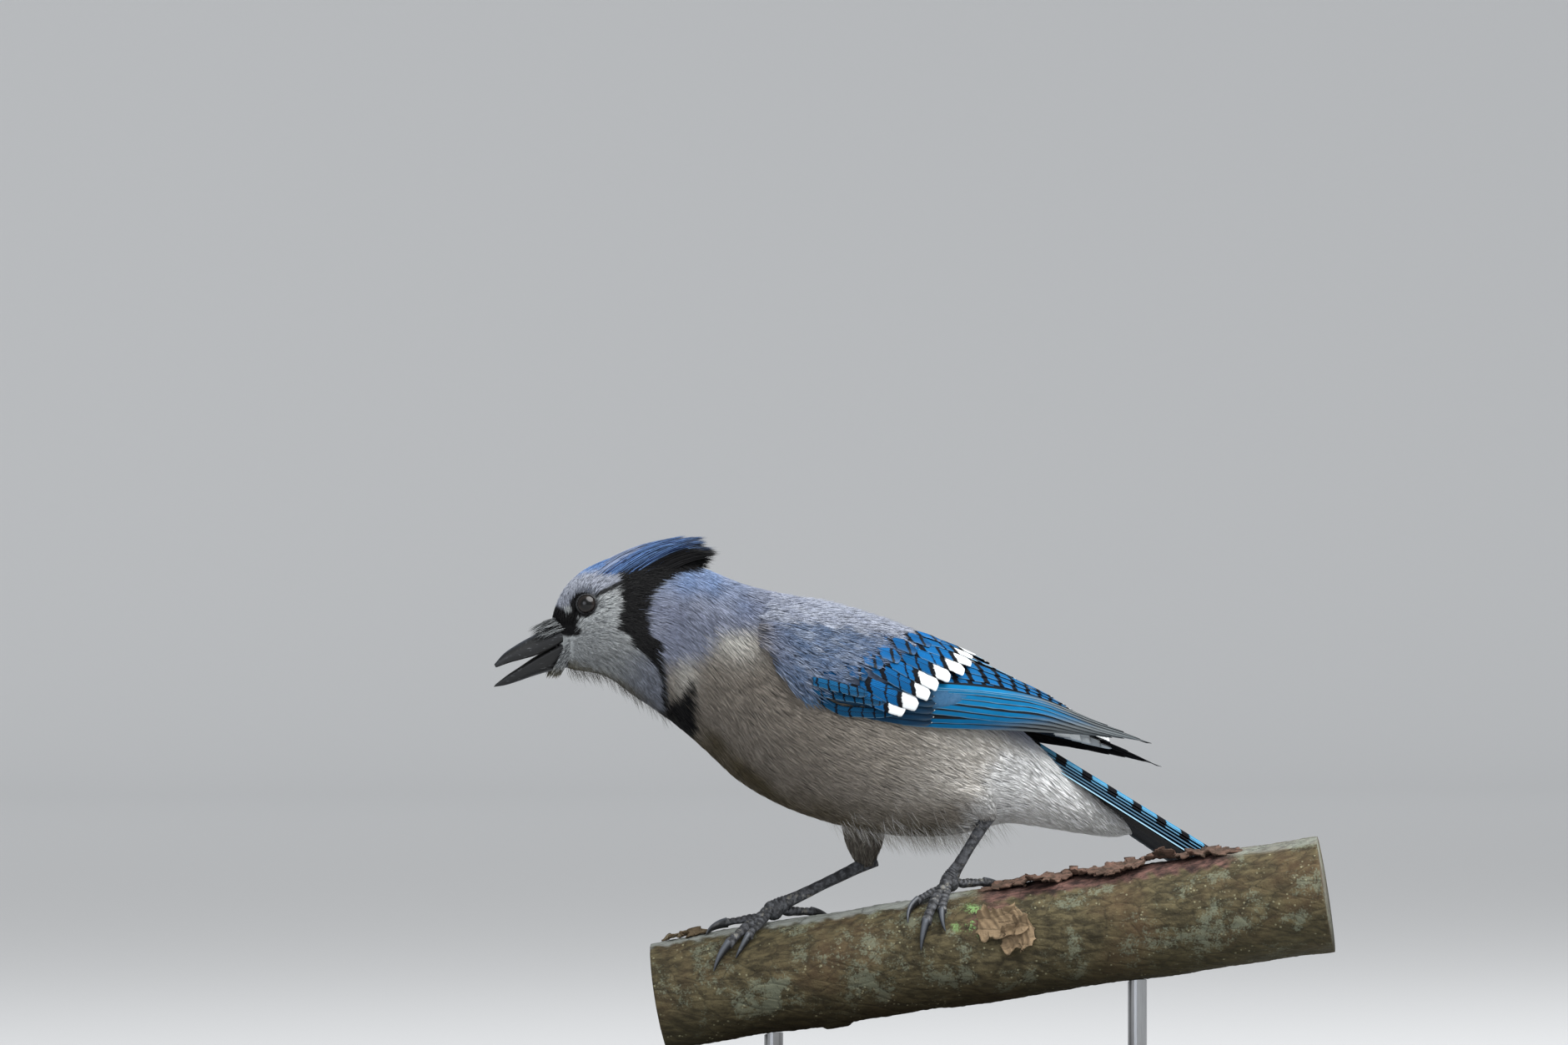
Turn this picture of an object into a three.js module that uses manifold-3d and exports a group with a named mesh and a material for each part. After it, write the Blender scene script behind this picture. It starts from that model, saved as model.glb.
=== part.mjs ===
// A life-size blue jay as a still museum model. It stands along a cut length of branch, which two
// short rods hold above a flat base. Millimetres, +Z up. The bird faces -X, and its left side -Y.
import * as THREE from 'three';
import { mergeVertices } from 'three/addons/utils/BufferGeometryUtils.js';
import Module from 'manifold-3d';

const wasm = await Module();
wasm.setup();

// Driving sizes
const GAP = 0.35; // clear space kept between neighbouring pieces
const FRONT_TO_MIDDLE = -14.5; // moves the bird so that its bounding box is centred on the origin
const SIDE_TO_MIDDLE = 11.25;

const HEAD_END = 5.0; // where the trunk is parted, counted in stations from the bill
const NECK_END = 7.0;
const TORSO_END = 12.6;
const TRUNK_SIDES = 22;
const TRUNK_SQUARE = 2.15; // 2 is an ellipse, more is squarer

const EYE_RADIUS = 5.1;
const EYE_PLACE = [-98.4, 6.9, 169.0];
const EYE_TURN = 16; // degrees that each eye looks forwards
const LID_RADIUS = 3.75;
const LID_THICK = 0.75;
const LID_LIFT = 0.25; // how far the lid stands off the eyeball
const LID_SHAPE = [1.04, 0.96]; // its width and height, as shares of a circle's

const PERCH_RADIUS = 19.2;
const PERCH_TAPER = 0.006; // gain in radius for each millimetre towards the thick end
const PERCH_YAW = -19; // degrees from the bird's own line
const PERCH_RISE = 8.85;
const PERCH_HEIGHT = 48;
const PERCH_FROM = -71;
const PERCH_TO = 156;

const BASE_LENGTH = 176;
const BASE_WIDTH = 112;
const BASE_THICK = 12;
const BASE_CORNER = 12;
const BASE_BEVEL = 1.5;
const BASE_CENTRE = [30, -10];
const ROD_RADIUS = 3.2;
const ROD_PLACES = [-32, 92]; // along the perch

const TAIL_LENGTH = 131;
const TAIL_ROOT = [44.7, 0, 128.2];
const TAIL_DROP = 31.2; // degrees below level
const TAIL_ROLL = 9; // degrees, near side up
const TAIL_PAIRS = 6;

const VANE_THICK = 0.6;
const FINEST = 0.001; // points nearer than this are one
const WING_DROOP = 8; // how much lower the right wing's tip hangs
const WING_REACH = 0.05; // how much further the right wing's tip lies

const degrees = THREE.MathUtils.degToRad;
const mix = THREE.MathUtils.lerp;
const point = (x, y, z) => new THREE.Vector3(x, y, z);

// The value at x of a smooth curve through pairs [x, value].
function through(pairs, x) {
  const last = pairs.length - 1;
  const inside = Math.min(Math.max(x, pairs[0][0]), pairs[last][0]);
  let i = 0;
  while (i < last - 1 && inside > pairs[i + 1][0]) i++;
  const slope = (k) => {
    const a = pairs[Math.max(k - 1, 0)];
    const b = pairs[Math.min(k + 1, last)];
    return (b[1] - a[1]) / (b[0] - a[0]);
  };
  const span = pairs[i + 1][0] - pairs[i][0];
  const t = (inside - pairs[i][0]) / span;
  const rise = t * t * (3 - 2 * t);
  const start = (t * t * t - 2 * t * t + t) * span * slope(i);
  const end = (t * t * t - t * t) * span * slope(i + 1);
  return mix(pairs[i][1], pairs[i + 1][1], rise) + start + end;
}

// Rows of numbers read as smooth curves at a fractional row number.
function rowAt(rows, t) {
  return rows[0].map((_, k) => through(rows.map((row, i) => [i, row[k]]), t));
}

// A closed geometry from points and triangles, turned so that its faces point outwards.
function closedGeometry(points, faces) {
  let volume = 0;
  for (let i = 0; i < faces.length; i += 3) {
    const [a, b, c] = [points[faces[i]], points[faces[i + 1]], points[faces[i + 2]]];
    volume += a.dot(b.clone().cross(c));
  }
  const turned = volume < 0 ? faces.slice().reverse() : faces;
  const geometry = new THREE.BufferGeometry().setFromPoints(points);
  geometry.setIndex(turned);
  return geometry;
}

// Rings of equal length joined in order, with a fan of triangles over each end.
function loft(rings) {
  const sides = rings[0].length;
  const points = rings.flat();
  const faces = [];
  for (let i = 0; i < rings.length - 1; i++) {
    for (let k = 0; k < sides; k++) {
      const [a, b] = [i * sides + k, i * sides + ((k + 1) % sides)];
      faces.push(a, b, b + sides, a, b + sides, a + sides);
    }
  }
  const ends = [[rings[0], 0], [rings[rings.length - 1], (rings.length - 1) * sides]];
  for (const [ring, first] of ends) {
    const middle = ring.reduce((sum, p) => sum.add(p), point(0, 0, 0)).divideScalar(sides);
    points.push(middle);
    for (let k = 0; k < sides; k++) {
      const [a, b] = [first + k, first + ((k + 1) % sides)];
      faces.push(...(first ? [a, b, points.length - 1] : [b, a, points.length - 1]));
    }
  }
  return closedGeometry(points, faces);
}

// A thin plate: at(u, v, depth) gives its outer face at depth 0 and its inner face at depth 1.
function plate(alongCount, acrossCount, at) {
  const row = acrossCount + 1;
  const layer = (alongCount + 1) * row;
  const points = [];
  for (const depth of [0, 1]) {
    for (let i = 0; i <= alongCount; i++) {
      for (let j = 0; j <= acrossCount; j++) {
        points.push(at(i / alongCount, (2 * j) / acrossCount - 1, depth));
      }
    }
  }
  const faces = [];
  for (let i = 0; i < alongCount; i++) {
    for (let j = 0; j < acrossCount; j++) {
      const a = i * row + j;
      faces.push(a, a + 1, a + row + 1, a, a + row + 1, a + row);
      const b = a + layer;
      faces.push(b, b + row + 1, b + 1, b, b + row, b + row + 1);
    }
  }
  const edge = (a, b) => faces.push(b, a, a + layer, b, a + layer, b + layer);
  for (let i = 0; i < alongCount; i++) {
    edge((i + 1) * row, i * row);
    edge(i * row + acrossCount, (i + 1) * row + acrossCount);
  }
  for (let j = 0; j < acrossCount; j++) {
    edge(j, j + 1);
    edge(alongCount * row + j + 1, alongCount * row + j);
  }
  return closedGeometry(points, faces);
}

function solid(geometry) {
  const bare = geometry.clone();
  bare.deleteAttribute('normal');
  bare.deleteAttribute('uv');
  const merged = mergeVertices(bare, FINEST);
  const vertProperties = new Float32Array(merged.attributes.position.array);
  const triVerts = new Uint32Array(merged.index.array);
  return new wasm.Manifold(new wasm.Mesh({ numProp: 3, vertProperties, triVerts }));
}

const fuse = (solids) => wasm.Manifold.union(solids);

// The triangles of the closed surface that has the most of them, without hollows and loose scraps.
function largestSurface(triangles, vertexCount) {
  const parent = Array.from({ length: vertexCount }, (_, i) => i);
  const find = (i) => {
    while (parent[i] !== i) i = parent[i] = parent[parent[i]];
    return i;
  };
  for (let i = 0; i < triangles.length; i += 3) {
    parent[find(triangles[i + 1])] = find(triangles[i]);
    parent[find(triangles[i + 2])] = find(triangles[i]);
  }
  const surfaces = new Map();
  for (let i = 0; i < triangles.length; i += 3) {
    const key = find(triangles[i]);
    if (!surfaces.has(key)) surfaces.set(key, []);
    surfaces.get(key).push(triangles[i], triangles[i + 1], triangles[i + 2]);
  }
  return [...surfaces.values()].reduce((best, one) => (one.length > best.length ? one : best));
}

function geometryOf(made) {
  const { vertProperties, numProp, numVert, triVerts } = made.getMesh();
  const points = Array.from({ length: numVert }, (_, i) =>
    point(...vertProperties.subarray(i * numProp, i * numProp + 3)));
  const whole = new THREE.BufferGeometry().setFromPoints(points);
  return whole.setIndex(largestSurface(triVerts, numVert)).toNonIndexed();
}

// A named piece. Making its solid anew closes the slivers that the joining leaves.
function mesh(name, made, material) {
  const geometry = mergeVertices(geometryOf(solid(geometryOf(made))), FINEST);
  geometry.computeVertexNormals();
  const piece = new THREE.Mesh(geometry, material);
  piece.name = name;
  return piece;
}

const finish = (color, roughness) => new THREE.MeshStandardMaterial({ color, roughness, metalness: 0 });
const MATERIALS = {
  head: finish(0x8f97a8, 0.9),
  mantle: finish(0x76819f, 0.9),
  breast: finish(0x9a948e, 0.9),
  vent: finish(0xdfe2df, 0.9),
  wing: finish(0x2f7fb8, 0.7),
  tail: finish(0x3b7ba4, 0.7),
  bill: finish(0x2b2f35, 0.45),
  eye: finish(0x120d0b, 0.1),
  leg: finish(0x3d3e42, 0.7),
  claw: finish(0x2c2d31, 0.4),
  bark: finish(0x5f5644, 0.95),
  stand: finish(0x3a2c22, 0.5),
  rod: finish(0x8c8c88, 0.35),
};

// Trunk: sections from the bill to the end of the undertail coverts. Each has its uppermost and
// lowest point in the bird's middle plane and its half width.
const TRUNK = [
  { at: 'bill base', top: [-109.0, 161.5], low: [-104.5, 148.0], half: 5.6 },
  { at: 'lore', top: [-107.4, 168.0], low: [-99.0, 146.8], half: 8.4 },
  { at: 'eye', top: [-103.8, 175.0], low: [-93.2, 145.9], half: 11.3 },
  { at: 'cheek', top: [-96.8, 181.0], low: [-87.1, 143.4], half: 13.1 },
  { at: 'crown', top: [-85.5, 185.2], low: [-80.2, 138.3], half: 13.9 },
  { at: 'nape', top: [-71.0, 186.0], low: [-72.7, 133.4], half: 14.8 },
  { at: 'neck', top: [-56.8, 181.2], low: [-64.9, 127.8], half: 17.2 },
  { at: 'fore shoulder', top: [-43.3, 175.8], low: [-54.8, 119.4], half: 22.6 },
  { at: 'shoulder', top: [-28.9, 172.4], low: [-43.3, 109.2], half: 27.2 },
  { at: 'breast', top: [-11.5, 168.8], low: [-27.4, 100.5], half: 30.2 },
  { at: 'middle', top: [5.8, 163.0], low: [-8.7, 94.4], half: 31.2 },
  { at: 'belly', top: [21.6, 155.0], low: [11.5, 91.0], half: 30.0 },
  { at: 'thighs', top: [36.1, 144.0], low: [30.3, 91.2], half: 25.8 },
  { at: 'vent', top: [48.6, 131.8], low: [47.6, 95.0], half: 19.2 },
  { at: 'rump', top: [59.6, 121.0], low: [66.4, 92.6], half: 13.0 },
  { at: 'coverts', top: [76.0, 106.5], low: [84.0, 90.2], half: 8.0 },
  { at: 'coverts end', top: [88.0, 97.0], low: [92.0, 91.0], half: 3.5 },
];
const TRUNK_ROWS = TRUNK.map(({ top, low, half }) => [...top, ...low, half]);

function trunkRing(t, grow) {
  const [topX, topZ, lowX, lowZ, half] = rowAt(TRUNK_ROWS, t);
  const middle = point((topX + lowX) / 2, 0, (topZ + lowZ) / 2);
  const up = point((topX - lowX) / 2, 0, (topZ - lowZ) / 2);
  up.multiplyScalar(1 + grow / up.length());
  return Array.from({ length: TRUNK_SIDES }, (_, k) => {
    const angle = (2 * Math.PI * k) / TRUNK_SIDES;
    const bent = (v) => Math.sign(v) * Math.abs(v) ** (2 / TRUNK_SQUARE);
    const p = middle.clone().addScaledVector(up, bent(Math.cos(angle)));
    p.y = (half + grow) * bent(Math.sin(angle));
    return p;
  });
}

function trunkBetween(from, to, count, grow = 0) {
  const rings = Array.from({ length: count + 1 }, (_, i) => trunkRing(mix(from, to, i / count), grow));
  return solid(loft(rings));
}

const TRUNK_LAST = TRUNK.length - 1;
const PART_HALF = 0.022; // half the cut between two trunk pieces, in stations

// A flat tapered vane from root to tip, used for the crest and the tufts. It is narrow at its root,
// full from a third of its length and pointed at its tip.
const NARROW_ROOT = 0.55;
const VANE_POINT = 0.82;

function looseVane(root, tip, { rise, half, thick, lean }) {
  const line = tip.clone().sub(root);
  const along = line.clone().normalize();
  const across = point(0, 1, 0).applyAxisAngle(along, degrees(lean));
  across.addScaledVector(along, -across.dot(along)).normalize();
  const normal = along.clone().cross(across).normalize();
  if (normal.z < 0) normal.negate();
  return solid(plate(3, 1, (u, v, depth) => {
    const swell = mix(NARROW_ROOT, 1, Math.sin(Math.PI * Math.min(u * 1.5, 1)));
    const wide = half * swell * (1 - VANE_POINT * u ** 3);
    const p = root.clone().addScaledVector(line, u);
    p.addScaledVector(normal, rise * 4 * u * (1 - u) - depth * thick * (1 - 0.5 * u));
    return p.addScaledVector(across, wide * v);
  }));
}

// Crest: tiers of long narrow feathers that rise from the crown and point backwards.
const CREST_TIERS = [
  { count: 4, root: [-95, 180], tip: [-69.5, 191.2], spread: 6.6, rise: 1.7, half: 2.5, close: 0.55 },
  { count: 4, root: [-87, 181], tip: [-60.5, 191.7], spread: 8.0, rise: 1.5, half: 2.5, close: 0.55 },
  { count: 4, root: [-79, 182], tip: [-53.6, 189.2], spread: 7.6, rise: 1.0, half: 2.5, close: 0.5 },
  { count: 4, root: [-72, 180], tip: [-54.6, 183.6], spread: 9.0, rise: 1.4, half: 2.6, close: 0.65 },
];
// Towards the sides the crest's roots and tips lie lower, and its tips further forward.
const CREST_SIDE = { rootDrop: 2.2, tipDrop: 3.2, tipBack: 3.0, lean: 28 };
const CREST_THICK = 1.0;

function crest() {
  return CREST_TIERS.flatMap(({ count, root, tip, spread, rise, half, close }, tier) =>
    Array.from({ length: count }, (_, i) => {
      const side = (2 * i) / (count - 1) - 1;
      const outer = side * side;
      const uneven = Math.sin(7 * i + 3 * tier);
      const from = point(root[0], side * spread, root[1] - CREST_SIDE.rootDrop * outer);
      const to = point(tip[0] + uneven, side * spread * close, tip[1] + uneven / 2);
      to.add(point(-CREST_SIDE.tipBack * outer, 0, -CREST_SIDE.tipDrop * outer));
      return looseVane(from, to, { rise, half, thick: CREST_THICK, lean: side * CREST_SIDE.lean });
    }));
}

// Nasal tufts: stiff feathers that lie forwards over the root of the upper bill.
const TUFTS = { count: 4, root: [-105.5, 5.2, 163.6], tip: [-112.6, 4.9, 160.9], drop: 3.5, back: 1.4 };
const TUFT_VANE = { rise: 0.5, half: 1.25, thick: 0.9 };
const TUFT_LEAN = 55;

function nasalTufts() {
  const { count, root, tip, drop, back } = TUFTS;
  return Array.from({ length: count }, (_, i) => {
    const side = (2 * i) / (count - 1) - 1;
    const outer = side * side;
    const from = point(root[0], side * root[1], root[2] - drop * outer);
    const to = point(tip[0] + back * outer, side * tip[1], tip[2] - drop * outer);
    return looseVane(from, to, { ...TUFT_VANE, lean: side * TUFT_LEAN });
  });
}

// Bill: sections from the corner of the mouth to the tip, with the ridge, the cutting edge and
// the half width of each mandible.
const UPPER_BILL = [
  [-103.0, 164.4, -100.2, 159.6, 7.4],
  [-107.6, 162.2, -104.6, 157.6, 6.1],
  [-112.5, 159.9, -109.4, 154.8, 4.9],
  [-116.9, 157.8, -114.8, 152.2, 3.9],
  [-121.2, 155.4, -119.4, 150.8, 2.9],
  [-125.3, 152.6, -123.7, 149.6, 1.8],
  [-128.6, 149.0, -128.0, 148.0, 0.6],
];
const LOWER_BILL = [
  [-98.4, 150.6, -99.8, 158.9, 7.2],
  [-102.6, 148.2, -104.3, 156.9, 5.9],
  [-108.4, 147.0, -109.3, 154.1, 4.8],
  [-114.9, 145.2, -114.4, 151.2, 3.8],
  [-120.0, 143.5, -119.0, 148.3, 2.9],
  [-124.7, 142.1, -123.6, 145.5, 1.8],
  [-128.8, 141.5, -128.0, 142.4, 0.6],
];
const BILL_STEPS = 12;
const ROOTED_STEPS = 5; // how many of them the face can touch
const BILL_FACETS = 6;
const RIDGE_FULLNESS = 0.9; // below 1 the ridge is blunter than an ellipse
const MOUTH_HOLLOW = 0.1; // depth of the hollow between the cutting edges, as a share of the height

// A mandible's section is a rounded ridge over a shallow hollow between its cutting edges.
function billRing(rows, t, grow) {
  const [ridgeX, ridgeZ, edgeX, edgeZ, half] = rowAt(rows, t);
  const edge = point(edgeX, 0, edgeZ);
  const toRidge = point(ridgeX, 0, ridgeZ).sub(edge);
  const out = toRidge.clone().normalize();
  const ring = [];
  for (let k = 0; k <= BILL_FACETS; k++) {
    const angle = degrees((180 * k) / BILL_FACETS - 90);
    const p = edge.clone().addScaledVector(toRidge, Math.cos(angle) ** RIDGE_FULLNESS);
    p.addScaledVector(out, grow * (k % BILL_FACETS ? Math.cos(angle) : -1));
    p.y = (half + grow) * Math.sin(angle);
    ring.push(p);
  }
  for (const side of [0.5, -0.5]) {
    const p = edge.clone().addScaledVector(toRidge, MOUTH_HOLLOW).addScaledVector(out, -grow);
    p.y = half * side;
    ring.push(p);
  }
  return ring;
}

function mandible(rows, steps = BILL_STEPS, grow = 0) {
  const stride = (rows.length - 1) / BILL_STEPS;
  const rings = Array.from({ length: steps + 1 }, (_, i) => billRing(rows, i * stride, grow));
  for (const p of rings[0]) p.x += 1.2 * grow;
  return solid(loft(rings));
}

// Eyes: the near one is the left, at -Y.
function eyeAxis(side) {
  return point(-Math.sin(degrees(EYE_TURN)), side * Math.cos(degrees(EYE_TURN)), 0.05).normalize();
}

function ball(radius, centre, across, down) {
  const sphere = new THREE.SphereGeometry(radius, across, down);
  return solid(sphere.translate(...centre));
}

function lid(side) {
  const [x, y, z] = EYE_PLACE;
  const ring = new THREE.TorusGeometry(LID_RADIUS, LID_THICK, 4, 14);
  const turn = new THREE.Quaternion().setFromUnitVectors(point(0, 0, 1), eyeAxis(side));
  const out = Math.sqrt(EYE_RADIUS ** 2 - LID_RADIUS ** 2) + LID_LIFT;
  ring.scale(...LID_SHAPE, 1).applyQuaternion(turn);
  const centre = point(x, side * y, z).addScaledVector(eyeAxis(side), out);
  return solid(ring.translate(...centre));
}

// Wing shell: for a folded wing, the height of the back, the widest level and the half width at x.
const WING_TIP = 98.7;
const SHELL_TOP = [
  [-45, 175.5], [-29, 172.8], [-11.5, 169.7], [5.8, 164.4],
  [28.9, 154.6], [51.9, 143.9], [75, 132.4], [WING_TIP, 122.6],
];
const SHELL_MIDDLE = [
  [-45, 150], [-30, 143], [0, 136.5], [30, 132], [60, 128.5], [80, 125.5], [WING_TIP, 122.2],
];
const SHELL_HALF = [
  [-45, 27.5], [-30, 31.5], [-10, 34], [10, 35], [25, 34.5],
  [40, 30.5], [55, 24.5], [70, 17], [85, 9.5], [WING_TIP, 3.5],
];
const SHELL_LEAST = 0.4; // least height of the shell above its widest level
const SIDE_LEAST = 0.8; // how near a feather comes to the bird's middle plane
const FREE_FROM = 5; // behind this x the wing hangs free, so it can droop

// A point on the wing: x along the bird, the angle above the widest level, and the lift off the shell.
function wingPoint(side, x, angle, lift) {
  const level = through(SHELL_MIDDLE, x);
  const high = Math.max(through(SHELL_TOP, x) - level, SHELL_LEAST);
  const half = through(SHELL_HALF, x);
  const a = degrees(angle);
  const free = Math.max(x - FREE_FROM, 0) / (WING_TIP - FREE_FROM);
  const droop = side > 0 ? WING_DROOP * free ** 1.6 : 0;
  const reach = side > 0 ? WING_REACH * free * (x - FREE_FROM) : 0;
  const y = Math.max((half + lift) * Math.cos(a), SIDE_LEAST);
  return point(x + reach, side * y, level + (high + lift) * Math.sin(a) - droop);
}

const RISE = 2.6; // how soon a feather rises from its sunk root
const EDGE_TILT = 0.22; // how far a feather's upper edge lies under the next one

const TIP_LEAST = 0.14; // share of its width that a feather keeps at its very tip
const SECTION_BEND = 1.35; // above 1, sections stand closer together towards the tip

// A feather's width along it, as a share, with a round tip that starts at `shoulder`.
function featherWidth(u, taper, shoulder) {
  const past = Math.max(u - shoulder, 0) / (1 - shoulder);
  const stop = Math.sqrt(Math.max(1 - past * past, 0));
  return mix(0.8, 1, Math.min(u * 3, 1)) * (1 - taper * u) * Math.max(stop, TIP_LEAST);
}

// A feather on the wing from root [x, angle] to tip [x, angle].
function wingVane(side, { root, tip, half, lift, taper, shoulder, steps, thick = VANE_THICK }) {
  const radius = Math.max(through(SHELL_HALF, (root[0] + tip[0]) / 2), 7);
  const spread = THREE.MathUtils.radToDeg(half / radius);
  return solid(plate(steps, 1, (raw, v, depth) => {
    const u = 1 - (1 - raw) ** SECTION_BEND;
    const wide = spread * featherWidth(u, taper, shoulder);
    const high = mix(lift[0], lift[1], 1 - (1 - u) ** RISE) - EDGE_TILT * v;
    return wingPoint(side, mix(root[0], tip[0], u), mix(root[1], tip[1], u) + v * wide, high - depth * thick);
  }));
}

// Tiers of wing feathers, each from its lowest to its uppermost feather. A tip line bows by `bow`.
const WING_TIERS = [
  { name: 'primaries', count: 6, bow: 9, taper: 0.55, shoulder: 0.82, steps: 3, thick: 0.5,
    roots: [[4, -14], [10, 12]], tips: [[74, -19], [98, 4]],
    half: [3.2, 3.6], lift: [[-3.0, -2.9], [-2.2, -1.3]] },
  { name: 'secondaries', count: 4, bow: 1, taper: 0.3, shoulder: 0.86, steps: 3,
    roots: [[9, 8], [16, 46]], tips: [[78, 26], [66, 66]],
    half: [4.2, 5.0], lift: [[-2.6, -1.2], [-2.2, -0.5]] },
  { name: 'tertials', count: 3, bow: 0, taper: 0.2, shoulder: 0.8, steps: 3,
    roots: [[17, 52], [20, 74]], tips: [[60, 68], [42, 80]],
    half: [5.0, 4.6], lift: [[-2.2, 0.3], [-1.8, 0.6]] },
  { name: 'primary coverts', count: 4, bow: 0, taper: 0.1, shoulder: 0.8, steps: 2,
    roots: [[-14, -13], [-8, 6]], tips: [[15, -14], [15, 10]],
    half: [2.4, 2.6], lift: [[-2.4, -0.9], [-2.2, -0.5]] },
  { name: 'greater coverts', count: 7, bow: -2, taper: 0, shoulder: 0.7, steps: 3,
    roots: [[-19, -1], [14, 66]], tips: [[3, -2], [35, 79]],
    half: [3.5, 3.8], lift: [[-2.4, 0.4], [-2.2, 0.9]] },
  { name: 'median coverts', count: 6, bow: -2, taper: 0, shoulder: 0.64, steps: 3,
    roots: [[-31, 2], [7, 64]], tips: [[-13, 4], [22, 70]],
    half: [3.8, 4.0], lift: [[-1.4, 0.9], [-1.2, 1.4]] },
  { name: 'alula', count: 2, bow: 0, taper: 0.2, shoulder: 0.8, steps: 3,
    roots: [[-26, -12], [-24, -4]], tips: [[4, -10], [-6, -2]],
    half: [2.4, 2.0], lift: [[-1.4, 0.3], [-1.4, 0.7]] },
];

function wingTier(side, tier) {
  const { count, roots, tips, half, lift, bow, ...shape } = tier;
  return Array.from({ length: count }, (_, i) => {
    const f = i / (count - 1);
    const between = ([a, b]) => [mix(a[0], b[0], f), mix(a[1], b[1], f)];
    const tip = between(tips);
    tip[0] += bow * 4 * f * (1 - f);
    const own = { root: between(roots), tip, half: mix(half[0], half[1], f), lift: between(lift) };
    return wingVane(side, { ...shape, ...own });
  });
}

// The arm under the small coverts and scapulars: a patch of the shell from the shoulder to the wrist.
const ARM_FRONT = -44;
const ARM_LOW = [[-44, 8], [-38, -6], [-28, -13], [-10, -15], [20, -10], [36, 20]];
const ARM_HIGH = [[-44, 34], [-34, 62], [-20, 76], [10, 80], [36, 76]];
const ARM_BACK = 34;
const ARM_DEPTHS = [6.5, 2.5]; // how thick it is in front and behind
const ARM_LIFTS = [-1.8, 0.2]; // how far it lies off the shell under the coverts and in front of them
const ARM_STEP = -18; // behind this x the arm lies under the coverts
const STEP_LENGTH = 10;

function arm(side) {
  return solid(plate(7, 4, (u, v, depth) => {
    const x = mix(ARM_FRONT, ARM_BACK, u);
    const angle = mix(through(ARM_LOW, x), through(ARM_HIGH, x), (v + 1) / 2);
    const rim = Math.min(1, 4 * (1 - Math.abs(v)), 8 * u + 0.1);
    const lift = mix(...ARM_LIFTS, rim * THREE.MathUtils.smoothstep(ARM_STEP - x, 0, STEP_LENGTH));
    return wingPoint(side, x, angle, lift - depth * mix(...ARM_DEPTHS, u ** 2));
  }));
}

function wing(side, torso) {
  const feathers = WING_TIERS.flatMap((tier) => wingTier(side, tier));
  return fuse([arm(side), ...feathers]).subtract(torso);
}

// Tail: twelve feathers, the middle pair on top, on a short root that fits the rump's socket.
const TAIL_SOCKET = 20;
const TAIL_BLOCK = [8.6, 2.9]; // half width and half height of the fleshy root
const BLOCK_SIZES = [0.55, 0.85, 1, 1]; // its sections from front to back, as shares of that
const BLOCK_SIDES = 14;
const TAIL_STEPS = [1.1, 0.55]; // how much shorter each pair is than the next inner one, and its gain
const TAIL_VANE = [3.2, 8.6]; // half width of a tail feather at its root and past its middle
const TAIL_FAN = [0.6, 0.5, 1.75]; // sideways place of the middle pair, and of each next one at both ends
const TAIL_FLAT_END = 0.9; // share of its length where a tail feather's end starts
const TAIL_TOP = 1.7;
const TAIL_LAYER = 0.62;
const TAIL_SLANT = 0.0455; // how much more each pair slopes down outwards than the next inner one

function tailFrame() {
  const down = degrees(TAIL_DROP);
  const along = point(Math.cos(down), 0, -Math.sin(down));
  const across = point(0, 1, 0).applyAxisAngle(along, degrees(-TAIL_ROLL));
  const up = along.clone().cross(across).negate();
  if (up.z < 0) up.negate();
  return { along, across, up, root: point(...TAIL_ROOT) };
}

function tailPoint(reach, side, height) {
  const { along, across, up, root } = tailFrame();
  return root.clone().addScaledVector(along, reach).addScaledVector(across, side).addScaledVector(up, height);
}

function tailVane(side, i) {
  const length = TAIL_LENGTH - TAIL_STEPS[0] * i - TAIL_STEPS[1] * i * i;
  return solid(plate(5, 1, (u, v, depth) => {
    const reach = 4 + (length - 4) * (1 - (1 - u) ** 1.3);
    const t = reach / length;
    const past = Math.max(t - TAIL_FLAT_END, 0) / (1 - TAIL_FLAT_END);
    const half = mix(...TAIL_VANE, Math.min(t * 1.5, 1)) * Math.sqrt(Math.max(1 - past * past, 0.03));
    const centre = side * (TAIL_FAN[0] + i * mix(TAIL_FAN[1], TAIL_FAN[2], t));
    const layer = TAIL_TOP - TAIL_LAYER * i - (side > 0 ? 0.3 : 0);
    const height = layer - TAIL_SLANT * i * Math.abs(side * v * half + centre) - 0.16 * i * t;
    return tailPoint(reach, centre + v * half, height - depth * VANE_THICK);
  }));
}

function tailBlock(grow) {
  const reaches = [-2 - grow, 4, 12, TAIL_SOCKET + grow];
  return solid(loft(reaches.map((reach, i) => Array.from({ length: BLOCK_SIDES }, (_, k) => {
    const a = (2 * Math.PI * k) / BLOCK_SIDES;
    const [wide, high] = TAIL_BLOCK.map((size) => size * BLOCK_SIZES[i] + grow);
    return tailPoint(reach, wide * Math.cos(a), high * Math.sin(a));
  }))));
}

function tail() {
  const vanes = [];
  for (let i = TAIL_PAIRS - 1; i >= 0; i--) vanes.push(tailVane(-1, i), tailVane(1, i));
  return fuse([tailBlock(0), ...vanes]);
}

// The space that the tail takes where it passes through the rump: half width, top and bottom at
// each distance along the tail.
const TAIL_ROOM = [[0, 10, 2.9, -4.2], [20, 11.8, 2.9, -5.4], [45, 14.05, 2.9, -6.9], [70, 16.3, 2.9, -8.4]];

function tailRoom() {
  return solid(loft(TAIL_ROOM.map(([reach, half, top, bottom]) =>
    [[-half, top], [half, top], [half, bottom], [-half, bottom]].map((at) => tailPoint(reach, ...at)))));
}

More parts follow.
